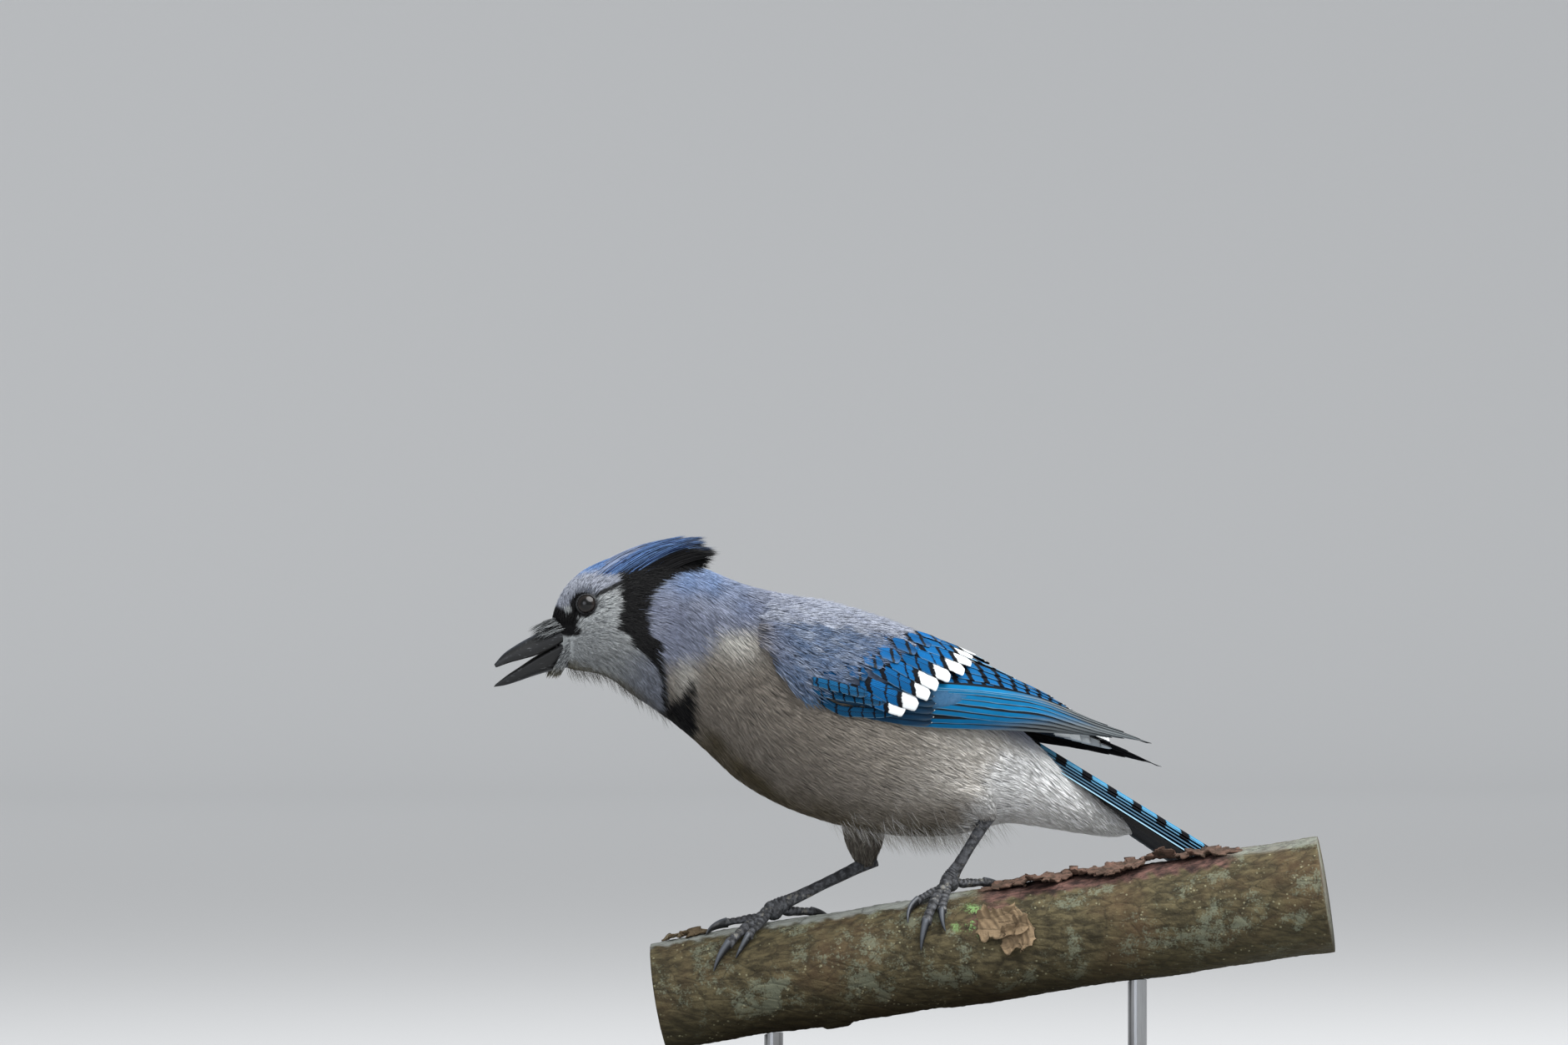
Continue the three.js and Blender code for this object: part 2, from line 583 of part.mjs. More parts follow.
// Perch: its own frame, with `a` along it, `angle` round it from the crest towards the near side.
function perchFrame() {
  const [yaw, rise] = [degrees(PERCH_YAW), degrees(PERCH_RISE)];
  const along = point(Math.cos(rise) * Math.cos(yaw), Math.cos(rise) * Math.sin(yaw), Math.sin(rise));
  const up = point(0, 0, 1).addScaledVector(along, -along.z).normalize();
  const near = along.clone().cross(up).negate();
  if (near.y > 0) near.negate();
  return { along, up, near, centre: point(0, 0, PERCH_HEIGHT) };
}

const perchRadius = (a) => PERCH_RADIUS + PERCH_TAPER * a;

function perchPoint(a, angle, radius) {
  const { along, up, near, centre } = perchFrame();
  const out = up.clone().multiplyScalar(Math.cos(degrees(angle)));
  out.addScaledVector(near, Math.sin(degrees(angle)));
  return centre.clone().addScaledVector(along, a).addScaledVector(out, radius);
}

const FOOT_PLACES = [-28.6, 31.6]; // along the perch

// Bark: low ripples along the branch, smoothed under the feet so that the toes stay clear.
const BARK_HEIGHT = 0.25;
const BARK_MOST = 2.2; // the ripples' own greatest sum, which keeps them all below the full radius
const FOOT_REACH = 24;

function barkDepth(a, angle) {
  const w = degrees(angle);
  const round = Math.sin(3 * w + 0.11 * a) + 0.7 * Math.sin(5 * w - 0.07 * a + 1);
  const ripple = round + 0.5 * Math.sin(0.21 * a);
  const near = (place) => Math.exp(-(((a - place) / FOOT_REACH) ** 2));
  const underFoot = FOOT_PLACES.reduce((sum, place) => sum + near(place), 0);
  const onTop = Math.cos(w / 2) ** 2;
  return BARK_HEIGHT * (ripple - BARK_MOST) * (1 - Math.min(underFoot, 1) * onTop);
}

const KNOTS = [
  { a: 43, angle: 122, wide: 7.5, high: 3.4 },
  { a: -13, angle: 176, wide: 4.5, high: 2.2 },
];

function knotHeight(a, angle) {
  return KNOTS.reduce((sum, knot) => {
    const round = degrees(angle - knot.angle) * PERCH_RADIUS;
    const far = ((a - knot.a) ** 2 + round ** 2) / knot.wide ** 2;
    return sum + knot.high * Math.exp(-far);
  }, 0);
}

const PERCH_SIDES = 18;
const PERCH_STEPS = 22;
function perch(grow = 0) {
  const rings = Array.from({ length: PERCH_STEPS + 1 }, (_, i) => {
    const a = mix(PERCH_FROM, PERCH_TO, i / PERCH_STEPS);
    return Array.from({ length: PERCH_SIDES }, (_, k) => {
      const angle = (360 * k) / PERCH_SIDES;
      const bark = barkDepth(a, angle) + knotHeight(a, angle);
      return perchPoint(a, angle, perchRadius(a) + bark + grow);
    });
  });
  return solid(loft(rings));
}

// Loose bark: curled flakes along the crest behind the rear foot.
const FLAKES = { count: 6, first: 50, step: 15.5, size: 6.5, vary: 1.6, sunk: 1.4, curl: 3.0, thick: 0.9 };

function flakes() {
  const { count, first, step, size, vary, sunk, curl, thick } = FLAKES;
  return Array.from({ length: count }, (_, i) => {
    const a = first + step * i;
    const turn = Math.sin(5.1 * i);
    const half = size + vary * Math.sin(3.3 * i + 1);
    return solid(plate(2, 2, (u, v, depth) => {
      const height = curl * u * u + 0.5 * v * v - sunk - depth * thick;
      const angle = 6 * turn + 16 * v * (1 - 0.4 * u);
      return perchPoint(a + half * (2 * u - 1) + turn * v, angle, perchRadius(a) + height);
    }));
  });
}

// Legs: each foot stands at `a` on the crest. Toes and claws give where they end, as the distance
// along the perch from the foot and the angle round it.
const LEGS = [
  { name: 'right', a: FOOT_PLACES[0], angle: 3, heel: [5.0, 12.0, 82.5],
    thighPath: [[4, 11.5, 106], [1.4, 12, 92], [3.0, 12, 80.4]],
    thighSizes: [[9.5, 7.5], [8.4, 6.6], [6.4, 5.4], [4.4, 4.1], [2.2, 2.2]],
    toes: [
      { toe: [-16.8, 2], claw: [-23.0, 22], size: 1.7 },
      { toe: [-15.6, 50], claw: [-21.2, 73], size: 2.0 },
      { toe: [-8.6, 44], claw: [-13.4, 63], size: 1.75 },
      { toe: [12.6, -22], claw: [18.6, -48], size: 1.9 },
    ] },
  { name: 'left', a: FOOT_PLACES[1], angle: 4, heel: [38.4, -14.2, 97.8],
    thighPath: [[22, -17, 110], [33, -18.5, 104], [38.5, -14.4, 96.4]],
    thighSizes: [[12, 8.5], [10.6, 8.2], [8, 6.6], [5, 4.6], [2.4, 2.4]],
    toes: [
      { toe: [-11.2, 30], claw: [-14.6, 54], size: 1.7 },
      { toe: [-8.6, 60], claw: [-11.4, 84], size: 2.0 },
      { toe: [-2.8, 50], claw: [-2.4, 69], size: 1.75 },
      { toe: [11.8, -16], claw: [18.2, -42], size: 1.9 },
    ] },
];
const PALM_HEIGHT = 2.9;
const PALM_RADIUS = 2.9;
const SHANK_INTO_PALM = 1.6; // how far above the palm's level the shank ends
const SHANK_RADII = [1.85, 2.35]; // half way down and at both ends
const SHANK_RIDGE = 0.04; // how much a scute stands out, as a share of the radius
const CLAW_LIFT = 0.35;
const TOE_SIDES = 6;
const SCUTES = 5;
const TARSUS_SCUTES = 6;
const CLAW_STEPS = 5;
const TARSUS_PART = 0.84; // share of the shank that belongs to the tarsus, the rest to the foot

// A round tube along points, with a radius at each; side(i) is a direction square to the tube.
function tube(points, radii, sides, side) {
  const last = points.length - 1;
  const rings = points.map((p, i) => {
    const along = points[Math.min(i + 1, last)].clone().sub(points[Math.max(i - 1, 0)]).normalize();
    const across = along.clone().cross(side(i)).normalize();
    const up = across.clone().cross(along).normalize();
    return Array.from({ length: sides }, (_, k) => {
      const a = (2 * Math.PI * (k + 0.5)) / sides;
      return p.clone().addScaledVector(across, radii[i] * Math.cos(a))
        .addScaledVector(up, radii[i] * Math.sin(a));
    });
  });
  return solid(loft(rings));
}

const outwards = (a, angle) => perchPoint(a, angle, 1).sub(perchPoint(a, angle, 0));

function toePlace(leg, toe, u) {
  const a = leg.a + toe.toe[0] * u;
  const angle = mix(leg.angle, toe.toe[1], u);
  const settle = PALM_HEIGHT * Math.max(1 - 2.6 * u, 0) ** 1.5;
  return { a, angle, height: perchRadius(a) + toe.size * (1.06 - 0.12 * u) + GAP + settle };
}

// A toe: its scutes are plates raised one behind another on its upper side.
function toeSolid(leg, toe) {
  const [points, radii, ups] = [[], [], []];
  const rings = SCUTES * 2;
  for (let i = 0; i <= rings; i++) {
    const { a, angle, height } = toePlace(leg, toe, i / rings);
    points.push(perchPoint(a, angle, height));
    radii.push(toe.size * (i % 2 ? 0.86 : 1.06) * (1 - (0.16 * i) / rings));
    ups.push(outwards(a, angle));
  }
  return tube(points, radii, TOE_SIDES, (i) => ups[i]);
}

// A claw: a curved tapering hook from the end of its toe down to the bark.
function clawSolid(leg, toe) {
  const end = toePlace(leg, toe, 1);
  const before = toePlace(leg, toe, 0.93);
  const from = perchPoint(end.a, end.angle, end.height);
  const heading = from.clone().sub(perchPoint(before.a, before.angle, before.height)).normalize();
  from.addScaledVector(heading, 1.3 * GAP);
  const a = leg.a + toe.claw[0];
  const to = perchPoint(a, toe.claw[1], perchRadius(a) + GAP + CLAW_LIFT);
  const bow = from.clone().addScaledVector(heading, from.distanceTo(to) * 0.55);
  const points = new THREE.QuadraticBezierCurve3(from, bow, to).getPoints(CLAW_STEPS);
  const radii = points.map((_, i) => toe.size * 0.78 * (1 - i / CLAW_STEPS) ** 0.7 + 0.22);
  return tube(points, radii, 6, () => outwards(end.a, end.angle));
}

// A point of the shank, from the heel at 0 to the palm at 1.
function shankPoint(leg, u) {
  const palm = perchPoint(leg.a, leg.angle, perchRadius(leg.a) + PALM_HEIGHT + SHANK_INTO_PALM);
  return point(...leg.heel).lerp(palm, u);
}

function shank(leg, from, to, count) {
  const points = [];
  const radii = [];
  for (let i = 0; i <= count; i++) {
    const u = mix(from, to, i / count);
    points.push(shankPoint(leg, u));
    radii.push(mix(...SHANK_RADII, (2 * u - 1) ** 2) * (1 + (i % 2 ? -SHANK_RIDGE : SHANK_RIDGE)));
  }
  return tube(points, radii, 8, () => point(0, 1, 0));
}

function foot(leg) {
  const palm = perchPoint(leg.a, leg.angle, perchRadius(leg.a) + PALM_HEIGHT + 0.4);
  const toes = leg.toes.map((toe) => toeSolid(leg, toe));
  const room = shank(leg, TARSUS_PART - 0.01, TARSUS_PART, 1);
  const heelEnd = shank(leg, TARSUS_PART + 0.014, 1, 3);
  return fuse([ball(PALM_RADIUS, palm, 8, 6), heelEnd, ...toes]).subtract(room);
}

const THIGH_STEPS = 7;
const THIGH_SIDES = 14;

function thigh(leg, torso) {
  const path = new THREE.QuadraticBezierCurve3(...leg.thighPath.map((p) => point(...p)));
  const rings = Array.from({ length: THIGH_STEPS + 1 }, (_, i) => {
    const u = i / THIGH_STEPS;
    const [long, wide] = rowAt(leg.thighSizes, u * (leg.thighSizes.length - 1));
    return Array.from({ length: THIGH_SIDES }, (_, k) => {
      const a = (2 * Math.PI * k) / THIGH_SIDES;
      const out = long * Math.cos(a);
      return path.getPoint(u).add(point(out, wide * Math.sin(a), 0.2 * out));
    });
  });
  return solid(loft(rings)).subtract(torso).subtract(shankRoom(leg));
}

// The shank's upper end with clear space round it, which is cut out of the feathered thigh.
const SHANK_ROOM = 2.6 + GAP;

function shankRoom(leg) {
  const points = [-0.08, 0.1, 0.4].map((u) => shankPoint(leg, u));
  return tube(points, points.map(() => SHANK_ROOM), 9, () => point(0, 1, 0));
}

// Stand: a base with rounded corners and two rods that end just under the bark.
function standBase() {
  const [x, y] = BASE_CENTRE;
  const [w, d] = [BASE_LENGTH / 2 - BASE_CORNER, BASE_WIDTH / 2 - BASE_CORNER];
  const outline = new THREE.Shape();
  [[w, d], [-w, d], [-w, -d], [w, -d]].forEach(([cx, cy], i) => {
    outline.absarc(x + cx, y + cy, BASE_CORNER, degrees(90 * i), degrees(90 * (i + 1)), false);
  });
  const slab = new THREE.ExtrudeGeometry(outline, {
    depth: BASE_THICK - 2 * BASE_BEVEL, curveSegments: 4, bevelEnabled: true, bevelSegments: 1,
    bevelSize: BASE_BEVEL, bevelThickness: BASE_BEVEL, bevelOffset: -BASE_BEVEL,
  });
  return solid(slab.translate(0, 0, BASE_BEVEL));
}

function rod(a, perchRoom) {
  const top = perchPoint(a, 180, 0);
  const bottom = BASE_THICK + GAP;
  const length = top.z - bottom;
  const bar = new THREE.CylinderGeometry(ROD_RADIUS, ROD_RADIUS, length, 20);
  bar.rotateX(Math.PI / 2).translate(top.x, top.y, bottom + length / 2);
  return solid(bar).subtract(perchRoom);
}

// Assembly
const model = new THREE.Group();
const bird = new THREE.Group();
const stand = new THREE.Group();
model.add(bird, stand);
model.position.set(FRONT_TO_MIDDLE, SIDE_TO_MIDDLE, 0);

const upperBill = mandible(UPPER_BILL);
const lowerBill = mandible(LOWER_BILL);
const eyes = [['left', -1], ['right', 1]].map(([name, side]) => {
  const centre = point(EYE_PLACE[0], side * EYE_PLACE[1], EYE_PLACE[2]);
  return { name, side, centre };
});
const sockets = eyes.map(({ centre }) => ball(EYE_RADIUS + GAP, centre, 14, 10));
const billRoom = fuse([UPPER_BILL, LOWER_BILL].map((rows) => mandible(rows, ROOTED_STEPS, 1.5 * GAP)));
const skull = trunkBetween(0, HEAD_END - PART_HALF, 13);
const neckRoom = trunkBetween(HEAD_END - PART_HALF, NECK_END, 6, GAP);
const head = fuse([skull, ...crest(), ...nasalTufts(), ...eyes.map(({ side }) => lid(side))])
  .subtract(billRoom).subtract(fuse(sockets)).subtract(neckRoom);
bird.add(mesh('head', head, MATERIALS.head));
bird.add(mesh('bill_upper', upperBill, MATERIALS.bill));
bird.add(mesh('bill_lower', lowerBill, MATERIALS.bill));
for (const { name, centre } of eyes) {
  bird.add(mesh(`eye_${name}`, ball(EYE_RADIUS, centre, 14, 10), MATERIALS.eye));
}
const neck = trunkBetween(HEAD_END + PART_HALF, NECK_END - PART_HALF, 6);
bird.add(mesh('neck', neck, MATERIALS.mantle));

const torso = trunkBetween(NECK_END + PART_HALF, TORSO_END - PART_HALF, 12);
const tailSpace = fuse([tailRoom(), tailBlock(GAP)]);
const rump = trunkBetween(TORSO_END + PART_HALF, TRUNK_LAST, 9).subtract(tailSpace);
const trunkRoom = trunkBetween(HEAD_END, TRUNK_LAST, 26, GAP);
bird.add(mesh('torso', torso.subtract(tailSpace), MATERIALS.breast));
bird.add(mesh('rump', rump, MATERIALS.vent));
bird.add(mesh('tail', tail(), MATERIALS.tail));
bird.add(mesh('wing_left', wing(-1, trunkRoom), MATERIALS.wing));
bird.add(mesh('wing_right', wing(1, trunkRoom), MATERIALS.wing));

for (const leg of LEGS) {
  bird.add(mesh(`thigh_${leg.name}`, thigh(leg, trunkRoom), MATERIALS.breast));
  const tarsus = shank(leg, 0, TARSUS_PART, TARSUS_SCUTES * 2).subtract(trunkRoom);
  bird.add(mesh(`tarsus_${leg.name}`, tarsus, MATERIALS.leg));
  bird.add(mesh(`foot_${leg.name}`, foot(leg), MATERIALS.leg));
  leg.toes.forEach((toe, i) => {
    bird.add(mesh(`claw_${leg.name}_${i + 1}`, clawSolid(leg, toe), MATERIALS.claw));
  });
}

const perchRoom = perch(GAP);
stand.add(mesh('perch', fuse([perch(), ...flakes()]), MATERIALS.bark));
stand.add(mesh('stand_base', standBase(), MATERIALS.stand));
ROD_PLACES.forEach((a, i) => {
  stand.add(mesh(`stand_rod_${i + 1}`, rod(a, perchRoom), MATERIALS.rod));
});

export default model;
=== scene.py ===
import bpy
import numpy as np
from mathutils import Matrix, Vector


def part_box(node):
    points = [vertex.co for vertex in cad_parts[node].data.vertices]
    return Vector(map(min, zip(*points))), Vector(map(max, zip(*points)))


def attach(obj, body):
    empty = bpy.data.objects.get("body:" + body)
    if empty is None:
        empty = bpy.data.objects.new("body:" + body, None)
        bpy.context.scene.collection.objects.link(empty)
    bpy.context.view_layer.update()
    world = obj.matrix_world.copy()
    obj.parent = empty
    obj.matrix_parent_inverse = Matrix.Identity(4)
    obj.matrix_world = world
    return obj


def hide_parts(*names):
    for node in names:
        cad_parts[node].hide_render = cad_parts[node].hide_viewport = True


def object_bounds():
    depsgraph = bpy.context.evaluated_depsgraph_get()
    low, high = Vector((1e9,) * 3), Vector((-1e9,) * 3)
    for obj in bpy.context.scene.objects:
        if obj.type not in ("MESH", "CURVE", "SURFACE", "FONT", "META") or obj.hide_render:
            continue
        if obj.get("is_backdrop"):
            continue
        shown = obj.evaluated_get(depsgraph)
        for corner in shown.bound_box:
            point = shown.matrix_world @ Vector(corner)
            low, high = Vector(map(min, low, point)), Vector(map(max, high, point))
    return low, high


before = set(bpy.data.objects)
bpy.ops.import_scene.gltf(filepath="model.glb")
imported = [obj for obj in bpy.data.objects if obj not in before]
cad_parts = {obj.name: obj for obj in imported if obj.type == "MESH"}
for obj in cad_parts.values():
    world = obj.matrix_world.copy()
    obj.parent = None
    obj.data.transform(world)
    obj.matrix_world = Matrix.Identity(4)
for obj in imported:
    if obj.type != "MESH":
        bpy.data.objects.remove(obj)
cadBox = [list(corner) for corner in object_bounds()]
print("frame loaded")


# Numbers and curves. Shapes are worked out in millimetres, as the solids are, facing -X.

upright = np.array([0, 0, 1.0])


def seeded(number):
    return np.random.default_rng(number)


def mix(a, b, share):
    return a + (b - a) * share


# 0 before low, 1 after high, and a smooth rise between them
def ease(value, low, high):
    t = np.clip((value - low) / (high - low), 0, 1)
    return t * t * (3 - 2 * t)


def unit(vectors):
    return vectors / np.maximum(np.linalg.norm(vectors, axis=-1, keepdims=True), 1e-9)


# Angles of points spaced evenly round a circle, the first of them `shift` spaces on
def turns(count, shift=0.0):
    return (np.arange(count) + shift) * 2 * np.pi / count


# Shares along, with both ends, and round, with the start not repeated, of a closed surface
def ringGrid(rows, columns):
    return np.meshgrid(np.linspace(0, 1, rows), np.arange(columns) / columns, indexing="ij")


# A smooth curve through given values: cubic pieces whose slope at each value is that between its neighbours
def through(places, values, x):
    places, values, x = (np.asarray(a, float) for a in (places, values, x))
    x = np.clip(x, places[0], places[-1])
    i = np.clip(np.searchsorted(places, x, side="right") - 1, 0, len(places) - 2)
    last = len(places) - 1
    before, after = np.maximum(np.arange(last + 1) - 1, 0), np.minimum(np.arange(last + 1) + 1, last)
    gaps = places[after] - places[before]
    slopes = (values[after] - values[before]) / gaps.reshape(-1, *[1] * (values.ndim - 1))
    span = places[i + 1] - places[i]
    t = (x - places[i]) / span
    if values.ndim > 1:
        t, span = t[..., None], span[..., None]
    rise = t * t * (3 - 2 * t)
    start, end = (t ** 3 - 2 * t * t + t) * span, (t ** 3 - t * t) * span
    return mix(values[i], values[i + 1], rise) + start * slopes[i] + end * slopes[i + 1]


def throughPairs(pairs, x):
    pairs = np.asarray(pairs, float)
    return through(pairs[:, 0], pairs[:, 1], x)


# Soft noise between about -1 and 1: a mean of sine waves in seeded directions, `size` millimetres long
def ripple(points, size, seed, waves=7):
    draw = seeded(seed)
    turns = unit(draw.normal(size=(waves, 3))) * draw.uniform(0.6, 1.7, (waves, 1)) * 2 * np.pi / size
    return np.sin(points @ turns.T + draw.uniform(0, 6.3, waves)).sum(-1) / waves ** 0.5


def linear(hexColour):
    values = np.array([int(hexColour[k:k + 2], 16) / 255 for k in (0, 2, 4)])
    return np.where(values > 0.04045, ((values + 0.055) / 1.055) ** 2.4, values / 12.92)


# Distance in the side view from points (x, z) to a broken line
def lineDistance(x, z, corners):
    corners = np.asarray(corners, float)
    spot = np.stack([x, z], -1)
    best = np.full(x.shape, 1e9)
    for start, end in zip(corners[:-1], corners[1:]):
        along = end - start
        share = np.clip(((spot - start) @ along) / (along @ along), 0, 1)
        best = np.minimum(best, np.linalg.norm(spot - start - share[..., None] * along, axis=-1))
    return best


# Distance to an outline in the side view, counted positive inside it
def insideBy(x, z, corners):
    corners = np.asarray(corners, float)
    ring = np.vstack([corners, corners[:1]])
    inside = np.zeros(x.shape, bool)
    for (x0, z0), (x1, z1) in zip(ring[:-1], ring[1:]):
        crosses = (z0 > z) != (z1 > z)
        inside ^= crosses & (x < (x1 - x0) * (z - z0) / (z1 - z0 + 1e-12) + x0)
    return np.where(inside, 1, -1) * lineDistance(x, z, ring)


# The bird's own millimetres are set in the frame by the two eyes, which no other piece moves
birdPlace = {"eye": np.array([-98.4, 6.9, 169.0]), "eyeOpening": (-99.9, 169.2)}
eyeMiddles = [sum(map(np.array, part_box(name))) * 500 for name in ("eye_left", "eye_right")]
birdShift = sum(eyeMiddles) / 2 - birdPlace["eye"] * [1, 0, 1]


def placed(points):
    return (points + birdShift) * 0.001


# Shapes: points, triangles, corner values of UV maps and point values of attributes

def shape(points, faces, uvs=None, values=None):
    return {"points": points, "faces": faces, "uvs": uvs or {}, "values": values or {}}


# The triangles turned to face outwards: the sum of the corner products is six times the volume
def facingOut(points, faces):
    a, b, c = (points[faces[:, k]] for k in range(3))
    return faces if np.einsum("ij,ij->", a, np.cross(b, c)) >= 0 else faces[:, ::-1]


def joined(shapes):
    starts = np.cumsum([0] + [len(s["points"]) for s in shapes])
    return shape(
        np.concatenate([s["points"] for s in shapes]),
        np.concatenate([s["faces"] + start for s, start in zip(shapes, starts)]),
        {key: np.concatenate([s["uvs"][key] for s in shapes]) for key in shapes[0]["uvs"]},
        {key: np.concatenate([s["values"][key] for s in shapes]) for key in shapes[0]["values"]},
    )


# Rings carried along a path, round or open at each step, with a fan over each end
def tubeShape(rings, **values):
    count, sides = rings.shape[:2]
    i, j = (g.ravel() for g in np.meshgrid(np.arange(count - 1), np.arange(sides), indexing="ij"))
    a, b = i * sides + j, i * sides + (j + 1) % sides
    low, high = (i + 1) / (count + 1), (i + 2) / (count + 1)
    left, right = j / sides, (j + 1) / sides
    corner = lambda u, v: np.stack([u, v], -1)
    faces = [np.stack([a, b, b + sides], -1), np.stack([a, b + sides, a + sides], -1)]
    uvs = [np.stack([corner(left, low), corner(right, low), corner(right, high)], 1),
           np.stack([corner(left, low), corner(right, high), corner(left, high)], 1)]
    k = np.arange(sides)
    ends = [(0, count * sides, 1 / (count + 1), 0.0),
            ((count - 1) * sides, count * sides + 1, count / (count + 1), 1.0)]
    for first, pole, edge, far in ends:
        one, two, pole = first + k, first + (k + 1) % sides, np.full(sides, pole)
        edge, far = np.full(sides, edge), np.full(sides, far)
        flip = first == 0
        faces.append(np.stack([two, one, pole] if flip else [one, two, pole], -1))
        fan = [corner((k + 1) / sides, edge), corner(k / sides, edge), corner((k + 0.5) / sides, far)]
        uvs.append(np.stack(fan if flip else [fan[1], fan[0], fan[2]], 1))
    points = np.vstack([rings.reshape(-1, 3), rings[0].mean(0), rings[-1].mean(0)])
    faces, uvs = np.concatenate(faces), np.concatenate(uvs)
    turned = facingOut(points - points.mean(0), faces)
    if turned is not faces:
        uvs = uvs[:, ::-1]
    spread = {}
    for key, v in values.items():
        wide = np.broadcast_to(v, (count, sides) + v.shape[2:]).reshape(-1, *v.shape[2:])
        spread[key] = np.concatenate([wide, v[:1, 0], v[-1:, 0]])
    return shape(points, turned, {"along": uvs}, spread)


# Many like plates at once: outer and inner faces are grids (plate, along, across, 3), closed round the edge
def plateShapes(outer, inner, cell, **values):
    count, rows, columns = outer.shape[:3]
    layer = rows * columns
    grid = np.arange(layer).reshape(rows, columns)
    a, b, c, d = (g.ravel() for g in (grid[:-1, :-1], grid[:-1, 1:], grid[1:, 1:], grid[1:, :-1]))
    top = np.concatenate([np.stack([a, b, c], -1), np.stack([a, c, d], -1)])
    border = np.concatenate([grid[0, :-1], grid[:-1, -1], grid[-1, :0:-1], grid[:0:-1, 0]])
    after = np.roll(border, -1)
    walls = np.concatenate([np.stack([after, border, border + layer], -1),
                            np.stack([after, border + layer, after + layer], -1)])
    one = np.concatenate([top, top[:, ::-1] + layer, walls])
    points = np.concatenate([outer.reshape(count, layer, 3), inner.reshape(count, layer, 3)], 1)
    # A plate whose corner products sum below zero is inside out, and its triangles are turned
    p, q, r = (points[:, one[:, k]] - points[:, :1] for k in range(3))
    back = np.einsum("nij,nij->n", p, np.cross(q, r)) < 0
    turned = lambda corners: np.where(back.reshape(-1, *[1] * corners.ndim), corners[:, ::-1], corners)
    u = np.broadcast_to(np.linspace(0, 1, columns)[None], (rows, columns)).ravel()
    v = np.broadcast_to(np.linspace(0, 1, rows)[:, None], (rows, columns)).ravel()
    flat = np.stack([u, v], -1)
    both = np.concatenate([flat, flat])
    uvs = {"vane": turned(both[one]).reshape(-1, 3, 2)}
    # On the bake map a plate's two faces lie side by side in its own cell, with its rim between them
    under = np.stack([0.05 + 0.4 * u, 0.04 + 0.92 * v], -1)
    sheet = np.concatenate([under, under + [0.5, 0]])[one]
    edge = slice(len(one) - len(walls), None)
    sheet[edge, :, 0] = 0.47 + 0.05 * (sheet[edge, :, 0] > 0.5)
    sheet[edge, :, 1] += 0.002 * np.arange(3)
    side = int(np.ceil(cell[1] ** 0.5))
    places = cell[0] + np.arange(count)
    corner = np.stack([places % side, places // side], -1) / side
    uvs["OFBake"] = (corner[:, None, None] + turned(sheet) / side).reshape(-1, 3, 2)
    faces = (turned(one) + (np.arange(count) * 2 * layer)[:, None, None]).reshape(-1, 3)
    spread = {"under": np.tile(np.repeat([0.0, 1.0], layer), count)}
    # A plate has one value, or one for each point of its grid
    for key, value in values.items():
        value = np.asarray(value, float)
        if value.shape[:3] == outer.shape[:3]:
            kind = value.shape[3:]
            wide = value.reshape(count, 1, layer, *kind)
            spread[key] = np.broadcast_to(wide, (count, 2, layer) + kind).reshape(-1, *kind)
        else:
            spread[key] = np.repeat(value, 2 * layer, axis=0)
    return shape(points.reshape(-1, 3), faces, uvs, spread)


def linked(name, data):
    made = bpy.data.objects.new(name, data)
    bpy.context.scene.collection.objects.link(made)
    return made


# A finished object in metres from a shape, riding on the part's one body
def makePiece(name, made, material, nodes=()):
    mesh = bpy.data.meshes.new(name)
    faces = made["faces"]
    mesh.vertices.add(len(made["points"]))
    mesh.vertices.foreach_set("co", placed(made["points"]).astype(np.float32).ravel())
    mesh.loops.add(faces.size)
    mesh.loops.foreach_set("vertex_index", faces.astype(np.int32).ravel())
    mesh.polygons.add(len(faces))
    mesh.polygons.foreach_set("loop_start", np.arange(0, faces.size, 3, dtype=np.int32))
    mesh.polygons.foreach_set("use_smooth", np.ones(len(faces), bool))
    for key, value in made["uvs"].items():
        mesh.uv_layers.new(name=key).data.foreach_set("uv", value.astype(np.float32).ravel())
    for key, value in made["values"].items():
        if value.ndim == 1:
            mesh.attributes.new(key, "FLOAT", "POINT").data.foreach_set("value", value.astype(np.float32))
        else:
            rgba = np.concatenate([value, np.ones((len(value), 1))], 1).astype(np.float32)
            mesh.attributes.new(key, "FLOAT_COLOR", "POINT").data.foreach_set("color", rgba.ravel())
    mesh.update()
    mesh.materials.append(material)
    piece = linked(name, mesh)
    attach(piece, "root")
    if nodes:
        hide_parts(*nodes)


# Shader sums: a socket that takes part in Python expressions, and the material that makes its nodes

class Field:
    def __init__(self, finish, socket):
        self.finish, self.socket = finish, socket

    def sum(self, operation, *values):
        return self.finish.node("Math", {"operation": operation}, dict(enumerate(values)))

    def __add__(self, other): return self.sum("ADD", self, other)
    def __radd__(self, other): return self.sum("ADD", self, other)
    def __sub__(self, other): return self.sum("SUBTRACT", self, other)
    def __rsub__(self, other): return self.sum("SUBTRACT", other, self)
    def __mul__(self, other): return self.sum("MULTIPLY", self, other)
    def __rmul__(self, other): return self.sum("MULTIPLY", self, other)
    def __truediv__(self, other): return self.sum("DIVIDE", self, other)
    def __abs__(self): return self.sum("ABSOLUTE", self)
    def sine(self): return self.sum("SINE", self)
    def share(self): return self.sum("FRACT", self)
    def atMost(self, other): return self.sum("MINIMUM", self, other)
    def atLeast(self, other): return self.sum("MAXIMUM", self, other)

    # 0 at low and 1 at high, smooth between them
    def ease(self, low, high):
        sockets = {"Value": self, "From Min": low, "From Max": high}
        return self.finish.node("MapRange", {"interpolation_type": "SMOOTHSTEP"}, sockets)


